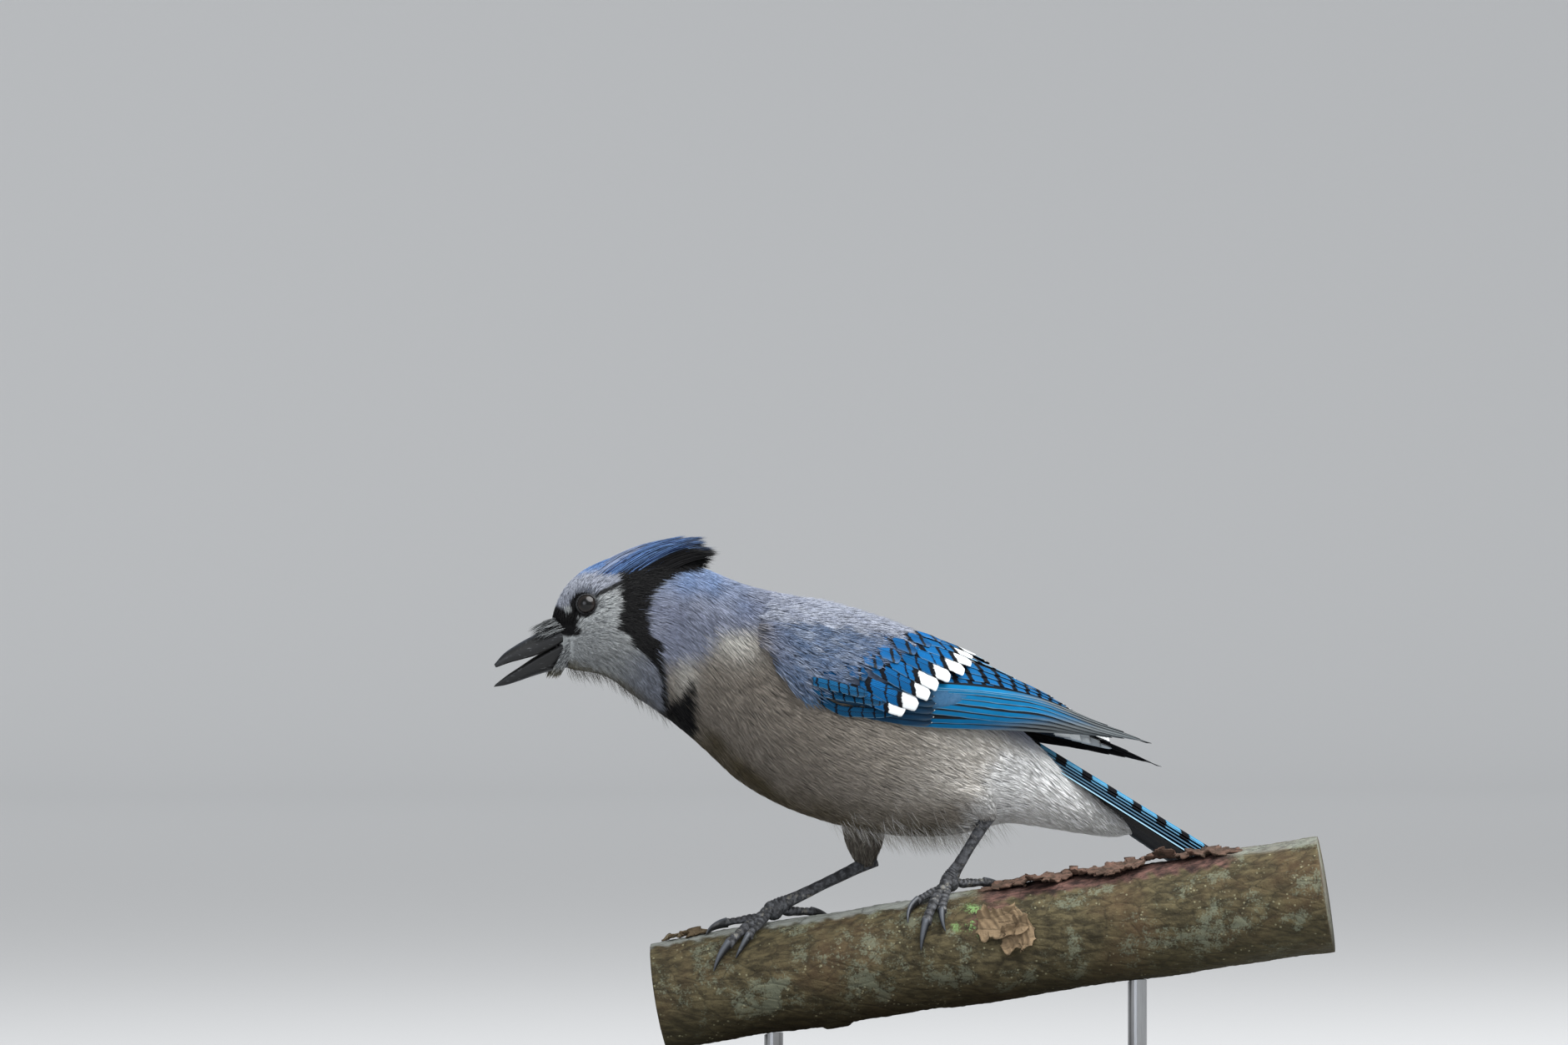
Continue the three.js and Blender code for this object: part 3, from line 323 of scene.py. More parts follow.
class Finish:
    def __init__(self, name, **uniform):
        self.material = bpy.data.materials.new(name)
        self.material.use_nodes = True
        self.nodes, self.links = self.material.node_tree.nodes, self.material.node_tree.links
        self.shader = self.nodes["Principled BSDF"]
        self.base = None
        for key, value in uniform.items():
            self.shader.inputs[key.replace("_", " ")].default_value = value

    # A socket takes another's output, a number or a colour; a colour may be given by its hex digits
    def feed(self, socket, value):
        if isinstance(value, Field):
            self.links.new(value.socket, socket)
        else:
            value = linear(value) if isinstance(value, str) else value
            if hasattr(value, "__len__") and len(value) == 3 and socket.type == "RGBA":
                value = (*value, 1.0)
            socket.default_value = value

    # Any node: its type, its settings, which are set first, and its sockets' values or links
    def node(self, kind, settings=None, sockets=None, output=0):
        made = self.nodes.new("ShaderNode" + kind)
        for key, value in (settings or {}).items():
            setattr(made, key, value)
        for key, value in (sockets or {}).items():
            self.feed(made.inputs[key], value)
        return Field(self, made.outputs[output])

    def colour(self, share, first, second, way="MIX"):
        settings = {"data_type": "RGBA", "blend_type": way, "clamp_factor": True}
        return self.node("Mix", settings, {0: share, 6: first, 7: second}, 2)

    # Lays a colour over the base colour so far
    def lay(self, share, colour, way="MIX"):
        self.base = self.colour(share, self.base, colour, way)

    def spot(self, scale=(1, 1, 1)):
        where = self.node("TexCoord", output=3)
        if scale == (1, 1, 1):
            return where
        return self.node("Mapping", None, {"Vector": where, "Scale": scale})

    def noise(self, scale, detail, rough=0.5, stretch=(1, 1, 1)):
        sockets = {"Vector": self.spot(stretch), "Scale": scale, "Detail": detail, "Roughness": rough}
        return self.node("TexNoise", None, sockets)

    def cells(self, scale, feature="F1", stretch=(1, 1, 1)):
        return self.node("TexVoronoi", {"feature": feature}, {"Vector": self.spot(stretch), "Scale": scale})

    def value(self, name):
        return self.node("Attribute", {"attribute_name": name}, output=2)

    def paint(self, name):
        return self.node("Attribute", {"attribute_name": name}, output=0)

    # The parts of a place, or of a colour with SeparateColor
    def parts(self, source, kind="SeparateXYZ"):
        split = self.node(kind, None, {0: source})
        return [Field(self, socket) for socket in split.socket.node.outputs]

    def uv(self, name):
        return self.parts(self.node("UVMap", {"uv_map": name}))[:2]

    # The parts that vary: base colour, roughness and a height in millimetres for the bump
    def done(self, roughness=None, height=None):
        self.feed(self.shader.inputs["Base Color"], self.base)
        if roughness is not None:
            self.feed(self.shader.inputs["Roughness"], roughness)
        if height is not None:
            bump = self.node("Bump", None, {"Height": height, "Distance": 0.001, "Strength": 1.0})
            self.links.new(bump.socket, self.shader.inputs["Normal"])
        return self.material


# Camera, light and floor

view = {
    "azimuth": -14.0, "away": 4000.0, "wide": 526.4, "aim": (-28.9, 0.0, 196.4), "sensor": 36.0,
    "clip": (0.1, 60),
}


# Stands an object at a place, looking along a vector
def looking(made, place, ahead):
    made.location = place
    made.rotation_mode = "QUATERNION"
    made.rotation_quaternion = ahead.to_track_quat("-Z", "Y")


def makeCamera():
    turn = np.radians(view["azimuth"])
    back = np.array([np.sin(turn), -np.cos(turn), 0])
    camera = linked("camera", bpy.data.cameras.new("camera"))
    camera.data.sensor_width = view["sensor"]
    camera.data.lens = view["sensor"] * view["away"] / view["wide"]
    camera.data.clip_start, camera.data.clip_end = view["clip"]
    looking(camera, placed(np.array(view["aim"]) + back * view["away"]), Vector(-back))
    bpy.context.scene.camera = camera


studio = {
    "sky": ("d2d4d6", 0.74), "top": (2.4, (0.7, -0.9, 1.9), 112), "side": (1.8, 2.2, 24),
    "cool": "eef3ff", "floor": ("b0b1b2", "e6e7e8"), "grade": (1.0, 4.5), "sweep": 4.6, "bend": 0.35,
    "long": (-7, 9), "half": 7,
}


def areaLight(name, size, place, aim, power, colour="ffffff"):
    light = bpy.data.lights.new(name, "AREA")
    light.shape, light.size, light.energy = "DISK", size, power
    light.color = linear(colour)
    looking(linked(name, light), place, Vector(aim) - Vector(place))


def makeStudio():
    world = bpy.data.worlds.new("studio")
    world.use_nodes = True
    colour, strength = studio["sky"]
    sky = world.node_tree.nodes["Background"].inputs
    sky[0].default_value, sky[1].default_value = (*linear(colour), 1), strength
    bpy.context.scene.world = world
    size, place, power = studio["top"]
    areaLight("light_top", size, place, (0, 0, 0.1), power)
    size, away, power = studio["side"]
    areaLight("light_front", size, (-away * 0.9, -away, 0.9), (0, 0, 0.12), power, studio["cool"])
    # The floor runs level and then sweeps up behind: its height is the square of the way past the turn.
    # Its colour grades from near to far, which keeps the background's brightness even.
    finish = Finish("floor_pale", Roughness=0.9)
    behind = finish.parts(finish.spot())[1]
    finish.base = finish.colour(behind.ease(*studio["grade"]), *studio["floor"])
    finish.done()
    along = np.linspace(*studio["long"], 120)[:, None]
    height = studio["bend"] * np.maximum(along - studio["sweep"], 0) ** 2
    across = np.linspace(-studio["half"], studio["half"], 3)[None]
    points = np.stack(np.broadcast_arrays(across, along, height), -1)
    mesh = bpy.data.meshes.new("floor")
    grid = np.arange(len(along) * 3).reshape(-1, 3)
    quads = np.stack([grid[:-1, :-1], grid[:-1, 1:], grid[1:, 1:], grid[1:, :-1]], -1).reshape(-1, 4)
    mesh.from_pydata(points.reshape(-1, 3).tolist(), [], quads.tolist())
    mesh.polygons.foreach_set("use_smooth", [True] * len(quads))
    mesh.materials.append(finish.material)
    linked("floor", mesh)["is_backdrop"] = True


makeCamera()
makeStudio()
print("camera and studio made")


# Body: sections from the bill to the undertail coverts, each with the uppermost and lowest point
# in the middle plane and the half width: x and z of the top, x and z of the low point, half width
trunk = {
    "rows": [(-109.0, 161.5, -104.5, 148.0, 5.6), (-107.4, 168.0, -99.0, 146.8, 8.4),
             (-103.8, 175.0, -93.2, 145.9, 11.3), (-96.8, 181.0, -87.1, 143.4, 13.1),
             (-85.5, 185.2, -80.2, 138.3, 13.9), (-71.0, 186.0, -72.7, 133.4, 14.8),
             (-56.8, 181.2, -64.9, 127.8, 17.2), (-43.3, 175.8, -54.8, 119.4, 22.6),
             (-28.9, 172.4, -43.3, 109.2, 27.2), (-11.5, 168.8, -27.4, 100.5, 30.2),
             (5.8, 163.0, -8.7, 94.4, 31.2), (21.6, 155.0, 11.5, 91.0, 30.0),
             (36.1, 144.0, 30.3, 91.2, 25.8), (48.6, 131.8, 47.6, 95.0, 19.2),
             (59.6, 121.0, 66.4, 92.6, 13.0), (76.0, 106.5, 84.0, 90.2, 8.0),
             (88.0, 97.0, 92.0, 91.0, 3.5)],
    "square": 2.15, "grid": (420, 288),
}
trunkLast = len(trunk["rows"]) - 1

# How deep the coat is, how long and wide its feathers are and how uneven in brightness, at stations
# from the bill
coatPlan = {
    "depth": [(0, 0.5), (2, 0.7), (3, 0.9), (5, 1.2), (8, 1.6), (11, 2.0), (13, 2.2), (16, 1.2)],
    "length": [(0, 2.6), (1, 3.0), (2, 3.6), (3, 4.8), (4, 7.0), (6, 9.5), (8, 11.0), (12, 13.0),
               (14, 13.0), (16, 9.0)],
    "width": [(0, 0.18), (2, 0.2), (3, 0.23), (4, 0.26), (6, 0.31), (9, 0.36), (16, 0.4)],
    "vary": [(0, 0.2), (3.5, 0.2), (5.5, 0.08), (8, 0.07), (12, 0.1), (16, 0.05)],
}


# A surface kept as a grid of points, read at shares (t along, a across), with its normals
class Surface:
    def __init__(self, points, closed):
        self.points, self.closed = points, closed
        rows, columns = points.shape[:2]
        self.alongStep = np.gradient(points, 1 / (rows - 1), axis=0)
        if closed:
            around = np.concatenate([points[:, -1:], points, points[:, :1]], 1)
            self.acrossStep = (around[:, 2:] - around[:, :-2]) * columns / 2
        else:
            self.acrossStep = np.gradient(points, 1 / (columns - 1), axis=1)
        normals = unit(np.cross(self.alongStep, self.acrossStep))
        middle = points.mean(1, keepdims=True) if closed else points.mean((0, 1)) * [1, 0, 1]
        if ((points - middle) * normals).sum() < 0:
            normals = -normals
        self.normals = normals

    def read(self, table, t, a):
        rows, columns = self.points.shape[:2]
        x = np.clip(t, 0, 1) * (rows - 1)
        y = (a % 1) * columns if self.closed else np.clip(a, 0, 1) * (columns - 1)
        i, j = np.minimum(x.astype(int), rows - 2), np.minimum(y.astype(int), columns - 1)
        if not self.closed:
            j = np.minimum(j, columns - 2)
        k = (j + 1) % columns
        x, y = (x - i)[..., None], (y - j)[..., None]
        return mix(mix(table[i, j], table[i, k], y), mix(table[i + 1, j], table[i + 1, k], y), x)

    def at(self, t, a, lift):
        return self.read(self.points, t, a) + unit(self.read(self.normals, t, a)) * lift[..., None]


# A ring of the trunk is a superellipse about the line from its low point to its top
def trunkPoints(t, turn):
    rows = through(np.arange(trunkLast + 1), np.array(trunk["rows"]), t)
    top, low, half = rows[..., 0:2], rows[..., 2:4], rows[..., 4]
    bent = lambda v: np.sign(v) * np.abs(v) ** (2 / trunk["square"])
    side = (top + low) / 2 + (top - low) / 2 * bent(np.cos(turn))[..., None]
    return np.stack([side[..., 0], half * bent(np.sin(turn)), side[..., 1]], -1)


# The small forms of the head, as heights over the plain trunk: brow, socket, cheek, jaw and chin
headForms = [
    {"at": (-99.0, 175.6), "size": (7.5, 2.6), "turn": 12, "high": 0.9},
    {"at": (-99.0, 169.2), "size": (4.8, 4.2), "turn": 0, "high": -0.9},
    {"at": (-106.2, 165.8), "size": (3.4, 3.2), "turn": 0, "high": -0.5},
    {"at": (-91.0, 161.5), "size": (8.5, 6.5), "turn": -30, "high": 1.3},
    {"at": (-96.5, 153.5), "size": (7.5, 2.6), "turn": 8, "high": 0.7},
]


def headRelief(points):
    height = np.zeros(points.shape[:-1])
    side = ease(np.abs(points[..., 1]), 2.5, 7.5)
    for form in headForms:
        turn = np.radians(form["turn"])
        x, z = points[..., 0] - form["at"][0], points[..., 2] - form["at"][1]
        along = (x * np.cos(turn) + z * np.sin(turn)) / form["size"][0]
        across = (z * np.cos(turn) - x * np.sin(turn)) / form["size"][1]
        height += form["high"] * np.exp(-along ** 2 - across ** 2)
    return height * side


def makeTrunkSurface():
    rows, columns = trunk["grid"]
    t = np.broadcast_to(np.linspace(0, trunkLast, rows)[:, None], (rows, columns))
    turn = np.broadcast_to(turns(columns), (rows, columns))
    plain = Surface(trunkPoints(t, turn), True)
    relief = headRelief(plain.points)
    return Surface(plain.points + plain.normals * relief[..., None], True)


body = makeTrunkSurface()


def bodyPlan(name, t):
    return throughPairs(coatPlan[name], t * trunkLast)


# Markings of the body, in the side view, with the painted shade of the chin and of the underside
palette = {
    "crown": "6889ba", "crownDark": "1f3668", "brow": "9a9fab", "black": "0b0b0d", "cheek": "b2b6b7",
    "cheekDark": "4a4f52", "chin": "6c6650", "throat": "838998", "nape": "8ca8d4", "napeGrey": "a9afc0",
    "mantle": "868da2", "scapular": "c0c6d2", "lesser": "627695", "lesserLow": "2c668e",
    "breast": "8d857b", "breastTan": "d9d7d0", "flank": "a69f95", "flankPale": "efebe4",
    "belly": "463c20", "bellyPale": "a09889", "vent": "f9fafa", "thigh": "665f56", "thighPale": "8b867b",
}
palette = {key: linear(value) for key, value in palette.items()}

outlines = {
    "band": [(-91.0, 181.6), (-85.4, 183.6), (-78, 184.6), (-70, 185.6), (-62, 186.5), (-54, 184.0),
             (-58, 179.6), (-65.3, 179.4), (-72.3, 176.1), (-75.8, 172.6), (-77.2, 168.6),
             (-77.9, 164.1), (-77.1, 158.4), (-73.8, 156.1), (-73.2, 151.5), (-72.9, 146.9),
             (-71.8, 141.2), (-70.2, 134.6), (-71.6, 134.0), (-72.8, 138.4), (-73.9, 144.1),
             (-75.3, 147.5), (-78.2, 150.9), (-81.2, 153.2), (-83.5, 154.9), (-84.7, 158.4),
             (-88.8, 160.6), (-88.4, 165.2), (-87.2, 169.6), (-87.7, 173.0), (-87.2, 176.4),
             (-87.0, 178.8)],
    "necklace": [(-63.5, 142.7), (-62.4, 138.5), (-61.7, 132.7), (-60.2, 126.3), (-60.0, 121.0),
                 (-65.0, 123.5), (-70.5, 128.5), (-71.5, 132.7), (-69.8, 134.9), (-67.2, 137.0),
                 (-65.4, 139.9)],
    "lore": [(-108.2, 172.6), (-110.4, 169.8), (-110.4, 165.8), (-108.8, 162.9), (-107.4, 160.6),
             (-103.9, 160.6), (-101.5, 162.9), (-102.1, 165.2), (-102.7, 167.5), (-104.5, 166.9),
             (-105.6, 167.5), (-107.1, 168.7)],
    "crown": [(-109.5, 177.0), (-103.1, 177.9), (-98.0, 180.1), (-91.0, 181.2), (-85.1, 183.2),
              (-79, 184.4), (-66, 186.2), (-50, 187.6), (-50, 200), (-110, 200)],
}


# Lines that part the regions, as z over x: under the cheek, over the eye, the mantle's lower side and
# the keel. The rear side of the head is x over z.
borders = {
    "chin": [(-112, 151.5), (-104, 150.0), (-96, 147.8), (-88, 144.6), (-80, 140), (-70, 135)],
    "brow": [(-112, 166), (-103, 169.5), (-97, 172.6), (-87, 176.2), (-80, 178)],
    "neck": [(120, -66), (134, -70.5), (147, -73), (157, -77.6), (164, -78.5), (172, -76), (180, -69),
             (190, -60)],
    "mantle": [(-80, 146), (-70, 147), (-60, 151), (-50, 158), (-42, 158), (-30, 150), (0, 140),
               (40, 125), (55, 118)],
    "keel": [(-70, 131), (-55, 121), (-43, 112), (-27, 103), (-9, 97), (12, 94), (30, 94), (48, 96)],
    "eyeLine": [(-96.0, 172.6), (-91.0, 174.6), (-86.0, 177.0)],
    "gape": [(-108, 161.4), (-105.5, 160.0), (-102.6, 160.2)],
}


# The colour of the plumage at points of the body, from soft-edged regions in the side view
def plumage(points):
    x, z = points[..., 0], points[..., 2]
    fine = ripple(points, 3.2, 11) * 0.5 + ripple(points, 1.6, 12) * 0.35
    broad = ripple(points, 17, 13)

    def lay(base, colour, share):
        return mix(base, palette[colour], np.clip(share, 0, 1)[..., None])

    colour = np.broadcast_to(palette["cheek"], points.shape).copy()
    # Fine dark rays run out from the corner of the mouth over the cheek
    ray, away = np.arctan2(z - 159.5, x + 104), np.hypot(x + 104, z - 159.5)
    rays = ripple(np.stack([10 * ray, 0.08 * away, 0 * x], -1), 0.8, 15)
    colour = lay(colour, "cheekDark", 0.14 + 0.14 * fine + 0.2 * rays * ease(away, 3, 9))
    colour = lay(colour, "throat", ease(x, -91, -76) * ease(z, 157, 148) * 0.85)
    rim = throughPairs(borders["chin"], x)
    # Under the jaw line the olive-brown chin colour is painted shade
    colour = lay(colour, "chin", ease(rim - z + fine, -1.5, 2.5) * ease(x, -70, -86) * 0.85)
    brow = ease(z - throughPairs(borders["brow"], x), -0.8, 0.8)
    colour = lay(colour, "brow", brow * ease(x, -84, -88))
    behind = ease(x - throughPairs(borders["neck"], z) + 0.5 * fine, -0.5, 0.7)
    mantle = np.broadcast_to(palette["mantle"], points.shape)
    mantle = lay(mantle, "nape", ease(z + 0.3 * x, 146, 161) * ease(x, -34, -60))
    mantle = lay(mantle, "napeGrey", 0.3 + 0.3 * broad * ease(z, 150, 165))
    # The mantle's blue gives way to grey-brown along a soft line from the necklace to the wing
    low = ease(throughPairs(borders["mantle"], x) - z + 1.5 * broad + 1.0 * fine, -6, 5)
    breast = np.broadcast_to(palette["breast"], points.shape)
    tan = np.exp(-((x + 50) / 9) ** 2 - ((z - 156) / 7) ** 2)
    tan = tan + 0.8 * np.exp(-((x + 66) / 4) ** 2 - ((z - 146) / 9) ** 2)
    breast = lay(breast, "breastTan", np.clip(0.9 * tan, 0, 1) + 0.08 * fine)
    breast = lay(breast, "flank", ease(x, -30, 5))
    breast = lay(breast, "flankPale", ease(x + 0.3 * (118 - z), 0, 38) * ease(z, 98, 108))
    # Below the keel line the dark olive is painted shade on the underside
    breast = lay(breast, "belly", ease(throughPairs(borders["keel"], x) - z + 2 * broad, -7, 4) * 0.85)
    breast = lay(breast, "bellyPale", np.clip(0.3 * fine + 0.12, 0, 1) * ease(x, -45, -15))
    colour = mix(colour, mix(mantle, breast, low[..., None]), behind[..., None])
    vent = x + 0.4 * (103 - z) + 1.5 * broad + 0.6 * fine
    colour = lay(colour, "vent", ease(vent, 28, 40) * ease(z, 126, 114))
    inside = {name: insideBy(x, z, corners) for name, corners in outlines.items()}
    colour = lay(colour, "crown", ease(inside["crown"] + 0.6 * fine, -1.2, 1.0))
    streak = ripple(points * [0.25, 1, 1], 1.5, 14)
    colour = lay(colour, "crownDark", ease(inside["crown"], 0, 2) * np.clip(0.25 + 0.4 * streak, 0, 0.8))
    colour = lay(colour, "black", ease(inside["band"] + 0.5 * fine, -0.4, 0.5) * ease(z, 190, 186))
    colour = lay(colour, "black", ease(inside["necklace"] + 0.7 * fine, -0.9, 0.9))
    colour = lay(colour, "black", ease(inside["lore"] + 0.3 * fine, -0.3, 0.4))
    eyeLine = lineDistance(x, z, borders["eyeLine"])
    colour = lay(colour, "black", ease(eyeLine + 0.35 * fine, 1.0, 0.4) * 0.95)
    eyeX, eyeZ = birdPlace["eyeOpening"]
    colour = lay(colour, "black", ease(np.hypot(x - eyeX, z - eyeZ), 4.5, 3.9))
    gape = lineDistance(x, z, borders["gape"])
    return lay(colour, "black", ease(gape + 0.3 * fine, 2.0, 1.3))


# Skin: the trunk surface sunk by the coat's depth, one closed shell with two feathered thighs. A leg
# stands at `a` along the perch and `angle` round it. A toe has its end and its claw's tip, each as a step
# along the perch and an angle round it, and its radius.
legs = {
    "right": {"a": -28.6, "angle": 3.0, "heel": (5.0, 12.0, 82.5),
              "thigh": [(4, 11.5, 106), (1.4, 12, 92), (3.0, 12, 80.4)],
              "sizes": [(9.8, 7.5), (9.0, 6.8), (7.6, 6.0), (5.6, 4.9), (2.6, 2.5)],
              "toes": [((-16.8, 2), (-23.0, 22), 1.7), ((-15.6, 50), (-21.2, 73), 2.0),
                       ((-8.6, 44), (-13.4, 63), 1.75), ((12.6, -22), (18.6, -48), 1.9)]},
    "left": {"a": 31.6, "angle": 4.0, "heel": (38.4, -14.2, 97.8),
             "thigh": [(22, -17, 110), (33, -18.5, 104), (38.5, -14.4, 96.4)],
             "sizes": [(12, 8.5), (10.6, 8.2), (8, 6.6), (5, 4.6), (2.4, 2.4)],
             "toes": [((-11.2, 30), (-14.6, 54), 1.7), ((-8.6, 60), (-11.4, 84), 2.0),
                      ((-2.8, 50), (-2.4, 69), 1.75), ((11.8, -16), (18.2, -42), 1.9)]},
}


# A thigh is an oval carried down a curve of three given points: (1-u)^2, 2u(1-u) and u^2 of them
def thighSurface(leg):
    u = np.linspace(0, 1, 60)
    path = np.array(leg["thigh"], float)
    v = u[:, None]
    middle = (1 - v) ** 2 * path[0] + 2 * v * (1 - v) * path[1] + v ** 2 * path[2]
    sizes = through(np.arange(5), np.array(leg["sizes"], float), u * 4)
    turn = turns(72)
    long, wide = sizes[:, :1] * np.cos(turn), sizes[:, 1:] * np.sin(turn)
    return Surface(middle[:, None] + np.stack([long, wide, 0.2 * long], -1), True)


thighs = {name: thighSurface(leg) for name, leg in legs.items()}
skin = {"grid": (200, 144), "thighGrid": (40, 48), "thighDepth": 1.2, "shade": 0.9}


def skinFinish():
    finish = Finish("skin_down", Roughness=0.95, Specular_IOR_Level=0.15)
    down = finish.noise(900, 3, stretch=(0.35, 1, 1))
    finish.base = finish.paint("plume")
    finish.lay(down * 0.7, "7b7a76", "MULTIPLY")
    return finish.done(None, down * 0.8)


def makeSkin():
    t, a = ringGrid(*skin["grid"])
    rings = body.at(t, a, -bodyPlan("depth", t))
    parts = [tubeShape(rings, plume=plumage(rings) * skin["shade"])]
    t, a = ringGrid(*skin["thighGrid"])
    for surface in thighs.values():
        rings = surface.at(t, a, t * 0 - skin["thighDepth"])
        parts.append(tubeShape(rings, plume=thighColour(rings) * skin["shade"]))
    nodes = ["head", "neck", "torso", "rump", "thigh_left", "thigh_right"]
    makePiece("skin", joined(parts), skinFinish(), nodes)


def thighColour(points):
    streak = ripple(points * [1, 1, 0.2], 1.6, 31)
    colour = mix(palette["thigh"], palette["thighPale"], np.clip(0.35 + 0.5 * streak, 0, 1)[..., None])
    return mix(plumage(points), colour, ease(points[..., 2], 101, 93)[..., None])


makeSkin()
print("skin made")


# Coat: each feather is a shaft and barbs beside it, laid along the surface and rising from the skin.
# A strand is a three-sided sliver: rings of three points, then its tip. On the bake map its three
# sides lie next to each other, one ring above another, in a patch at its root's place.
strand = {
    "patch": 0.003, "ridge": 0.84, "most": 190000, "tipShade": 1.05,
    # how far strands flow together and apart, and how unevenly they rise
    "flow": 0.3, "wild": 0.03, "lifts": 0.05,
}


def strandForm(rings):
    q, k = (g.ravel() for g in np.meshgrid(np.arange(rings - 1), np.arange(3), indexing="ij"))
    side = np.arange(3)
    last = side * 0 + rings - 1
    spot = lambda q, k: 3 * q + k % 3
    corner = lambda k, q: np.stack([k / 3, 0.1 + 0.9 * q / rings], -1)
    faces = np.concatenate([
        np.stack([spot(q, k), spot(q, k + 1), spot(q + 1, k + 1)], -1),
        np.stack([spot(q, k), spot(q + 1, k + 1), spot(q + 1, k)], -1),
        np.stack([spot(last, side), spot(last, side + 1), side * 0 + 3 * rings], -1), [(2, 1, 0)]])
    flat = np.concatenate([
        np.stack([corner(k, q), corner(k + 1, q), corner(k + 1, q + 1)], 1),
        np.stack([corner(k, q), corner(k + 1, q + 1), corner(k, q + 1)], 1),
        np.stack([corner(side, last), corner(side + 1, last), corner(side + 0.5, last + 1)], 1),
        [[(0.9, 0.02), (0.5, 0.09), (0.1, 0.02)]]])
    stations = np.linspace(0, 1, rings + 1)
    wide = np.interp(stations[:-1], [0, 0.4, 0.75, 1], [0.7, 1.0, 0.8, 0.3])
    return {"faces": faces, "corners": (flat - 0.5) * strand["patch"], "stations": stations, "wide": wide}


strandForms = {rings: strandForm(rings) for rings in (2, 3, 5)}


# Strands from their centre lines (strand, station, 3), the normals there, their widths and colours and
# the places of their roots on the map
def strandShape(lines, normals, width, plume, roots, rootShade=0.86):
    count, rings = len(lines), lines.shape[1] - 1
    form = strandForms[rings]
    ahead = np.concatenate([lines[:, 1:] - lines[:, :-1], lines[:, -1:] - lines[:, -2:-1]], 1)
    across = unit(np.cross(ahead, normals))[:, :rings]
    wide = form["wide"][None, :, None] * width[:, None, None] / 2
    middle = lines[:, :rings]
    high = normals[:, :rings] * wide * strand["ridge"]
    ring = np.stack([middle + across * wide, middle - across * wide, middle + high], 2)
    points = np.concatenate([ring.reshape(count, 3 * rings, 3), lines[:, rings:]], 1)
    shade = np.repeat(mix(rootShade, strand["tipShade"], form["stations"]), [3] * rings + [1])
    colour = plume[:, None] * shade[None, :, None]
    faces = (form["faces"][None] + (np.arange(count) * (3 * rings + 1))[:, None, None]).reshape(-1, 3)
    corners = (roots[:, None, None] + form["corners"][None]).reshape(-1, 3, 2)
    return shape(points.reshape(-1, 3), faces, {"OFBake": corners}, {"plume": colour.reshape(-1, 3)})


def coatFinish(name):
    finish = Finish(name, Roughness=0.85, Specular_IOR_Level=0.1, Sheen_Weight=0.04, Sheen_Roughness=0.5)
    finish.base = finish.paint("plume")
    dull = "efefef" if name == "vent_feathers" else "c4c4c4"
    finish.lay(1.0, finish.colour(finish.noise(1500, 2), dull, "ffffff"), "MULTIPLY")
    return finish.done()


# A piece of the coat holds no more than `most` triangles
def makeCoat(name, strands, slotName):
    most = strand["most"] // len(strandForms[strands[0].shape[1] - 1]["faces"])
    pieces = -(-len(strands[0]) // most)
    for k in range(pieces):
        part = strandShape(*(value[k * most:(k + 1) * most] for value in strands))
        makePiece(f"{name}_{k + 1}" if pieces > 1 else name, part, coatMaterials[slotName])
    return len(strands[0])


# The strands of feathers rooted at (t, a) on a surface. `lay` gives the heading as a vector at each root.
def featherStrands(surface, t, a, lay, length, width, depth, barbs, seed, colourAt, mapAt,
                   vary, proud, spread=0.15):
    draw = seeded(seed)
    count = len(t)
    along, across = surface.read(surface.alongStep, t, a), surface.read(surface.acrossStep, t, a)
    heading = unit(lay)
    forward, sideways = (heading * unit(along)).sum(-1), (heading * unit(across)).sum(-1)
    size = np.hypot(forward, sideways)
    f, g = (forward / size)[:, None, None], (sideways / size)[:, None, None]
    # One row of strands for each feather: the shaft first, then barbs from further and further out
    k = np.arange(barbs)
    each = (count, barbs)
    start = np.where(k == 0, 0.0, 0.5 * (k - 1) / max(barbs - 2, 1)) + draw.uniform(-0.1, 0.1, each)
    reach = np.where(k == 0, 1.0, 0.62) * draw.uniform(0.8, 1.12, each)
    side = np.where(k == 0, 0, np.where(k % 2, 1, -1)) * draw.uniform(0.3, 1.25, each)
    wave = strand["flow"] * ripple(surface.at(t, a, t * 0), 9, seed + 1)[:, None] * 0.12
    wave = wave + draw.normal(0, strand["wild"], each)
    s, long = strandForms[2]["stations"], length[:, None, None]
    far = (start[..., None] + (1 - 0.5 * start[..., None]) * reach[..., None] * s) * long
    bow = (side[..., None] * spread * (s ** 0.8) + wave[..., None] * s) * long * 0.55
    bow = bow + (1.9 * width[:, None] * draw.normal(0, 1, each))[..., None]
    onT = t[:, None, None] + (f * far - g * bow) / np.linalg.norm(along, axis=-1)[:, None, None]
    onA = a[:, None, None] + (g * far + f * bow) / np.linalg.norm(across, axis=-1)[:, None, None]
    up = np.clip(far / long, 0, 1.3) ** 0.75
    rise = (proud + draw.normal(0, strand["lifts"], each))[..., None]
    lift = rise * up - depth[:, None, None] * (1 - up)
    lines = surface.at(onT, onA, lift).reshape(-1, 3, 3)
    normals = unit(surface.read(surface.normals, onT, onA)).reshape(-1, 3, 3)
    uneven = draw.uniform(-1, 1, each) + 0.6 * draw.uniform(-1, 1, (count, 1))
    bright = 1 + vary[:, None] * uneven
    plume = colourAt(lines[:, -2:].mean(1)) * bright.reshape(-1, 1)
    roots = np.repeat(mapAt(t, a), barbs, axis=0) + draw.uniform(-0.002, 0.002, (len(lines), 2))
    wide = np.repeat(width, barbs) * draw.uniform(0.75, 1.2, len(lines))
    return lines, normals, wide, plume, np.clip(roots, 0.002, 0.998)


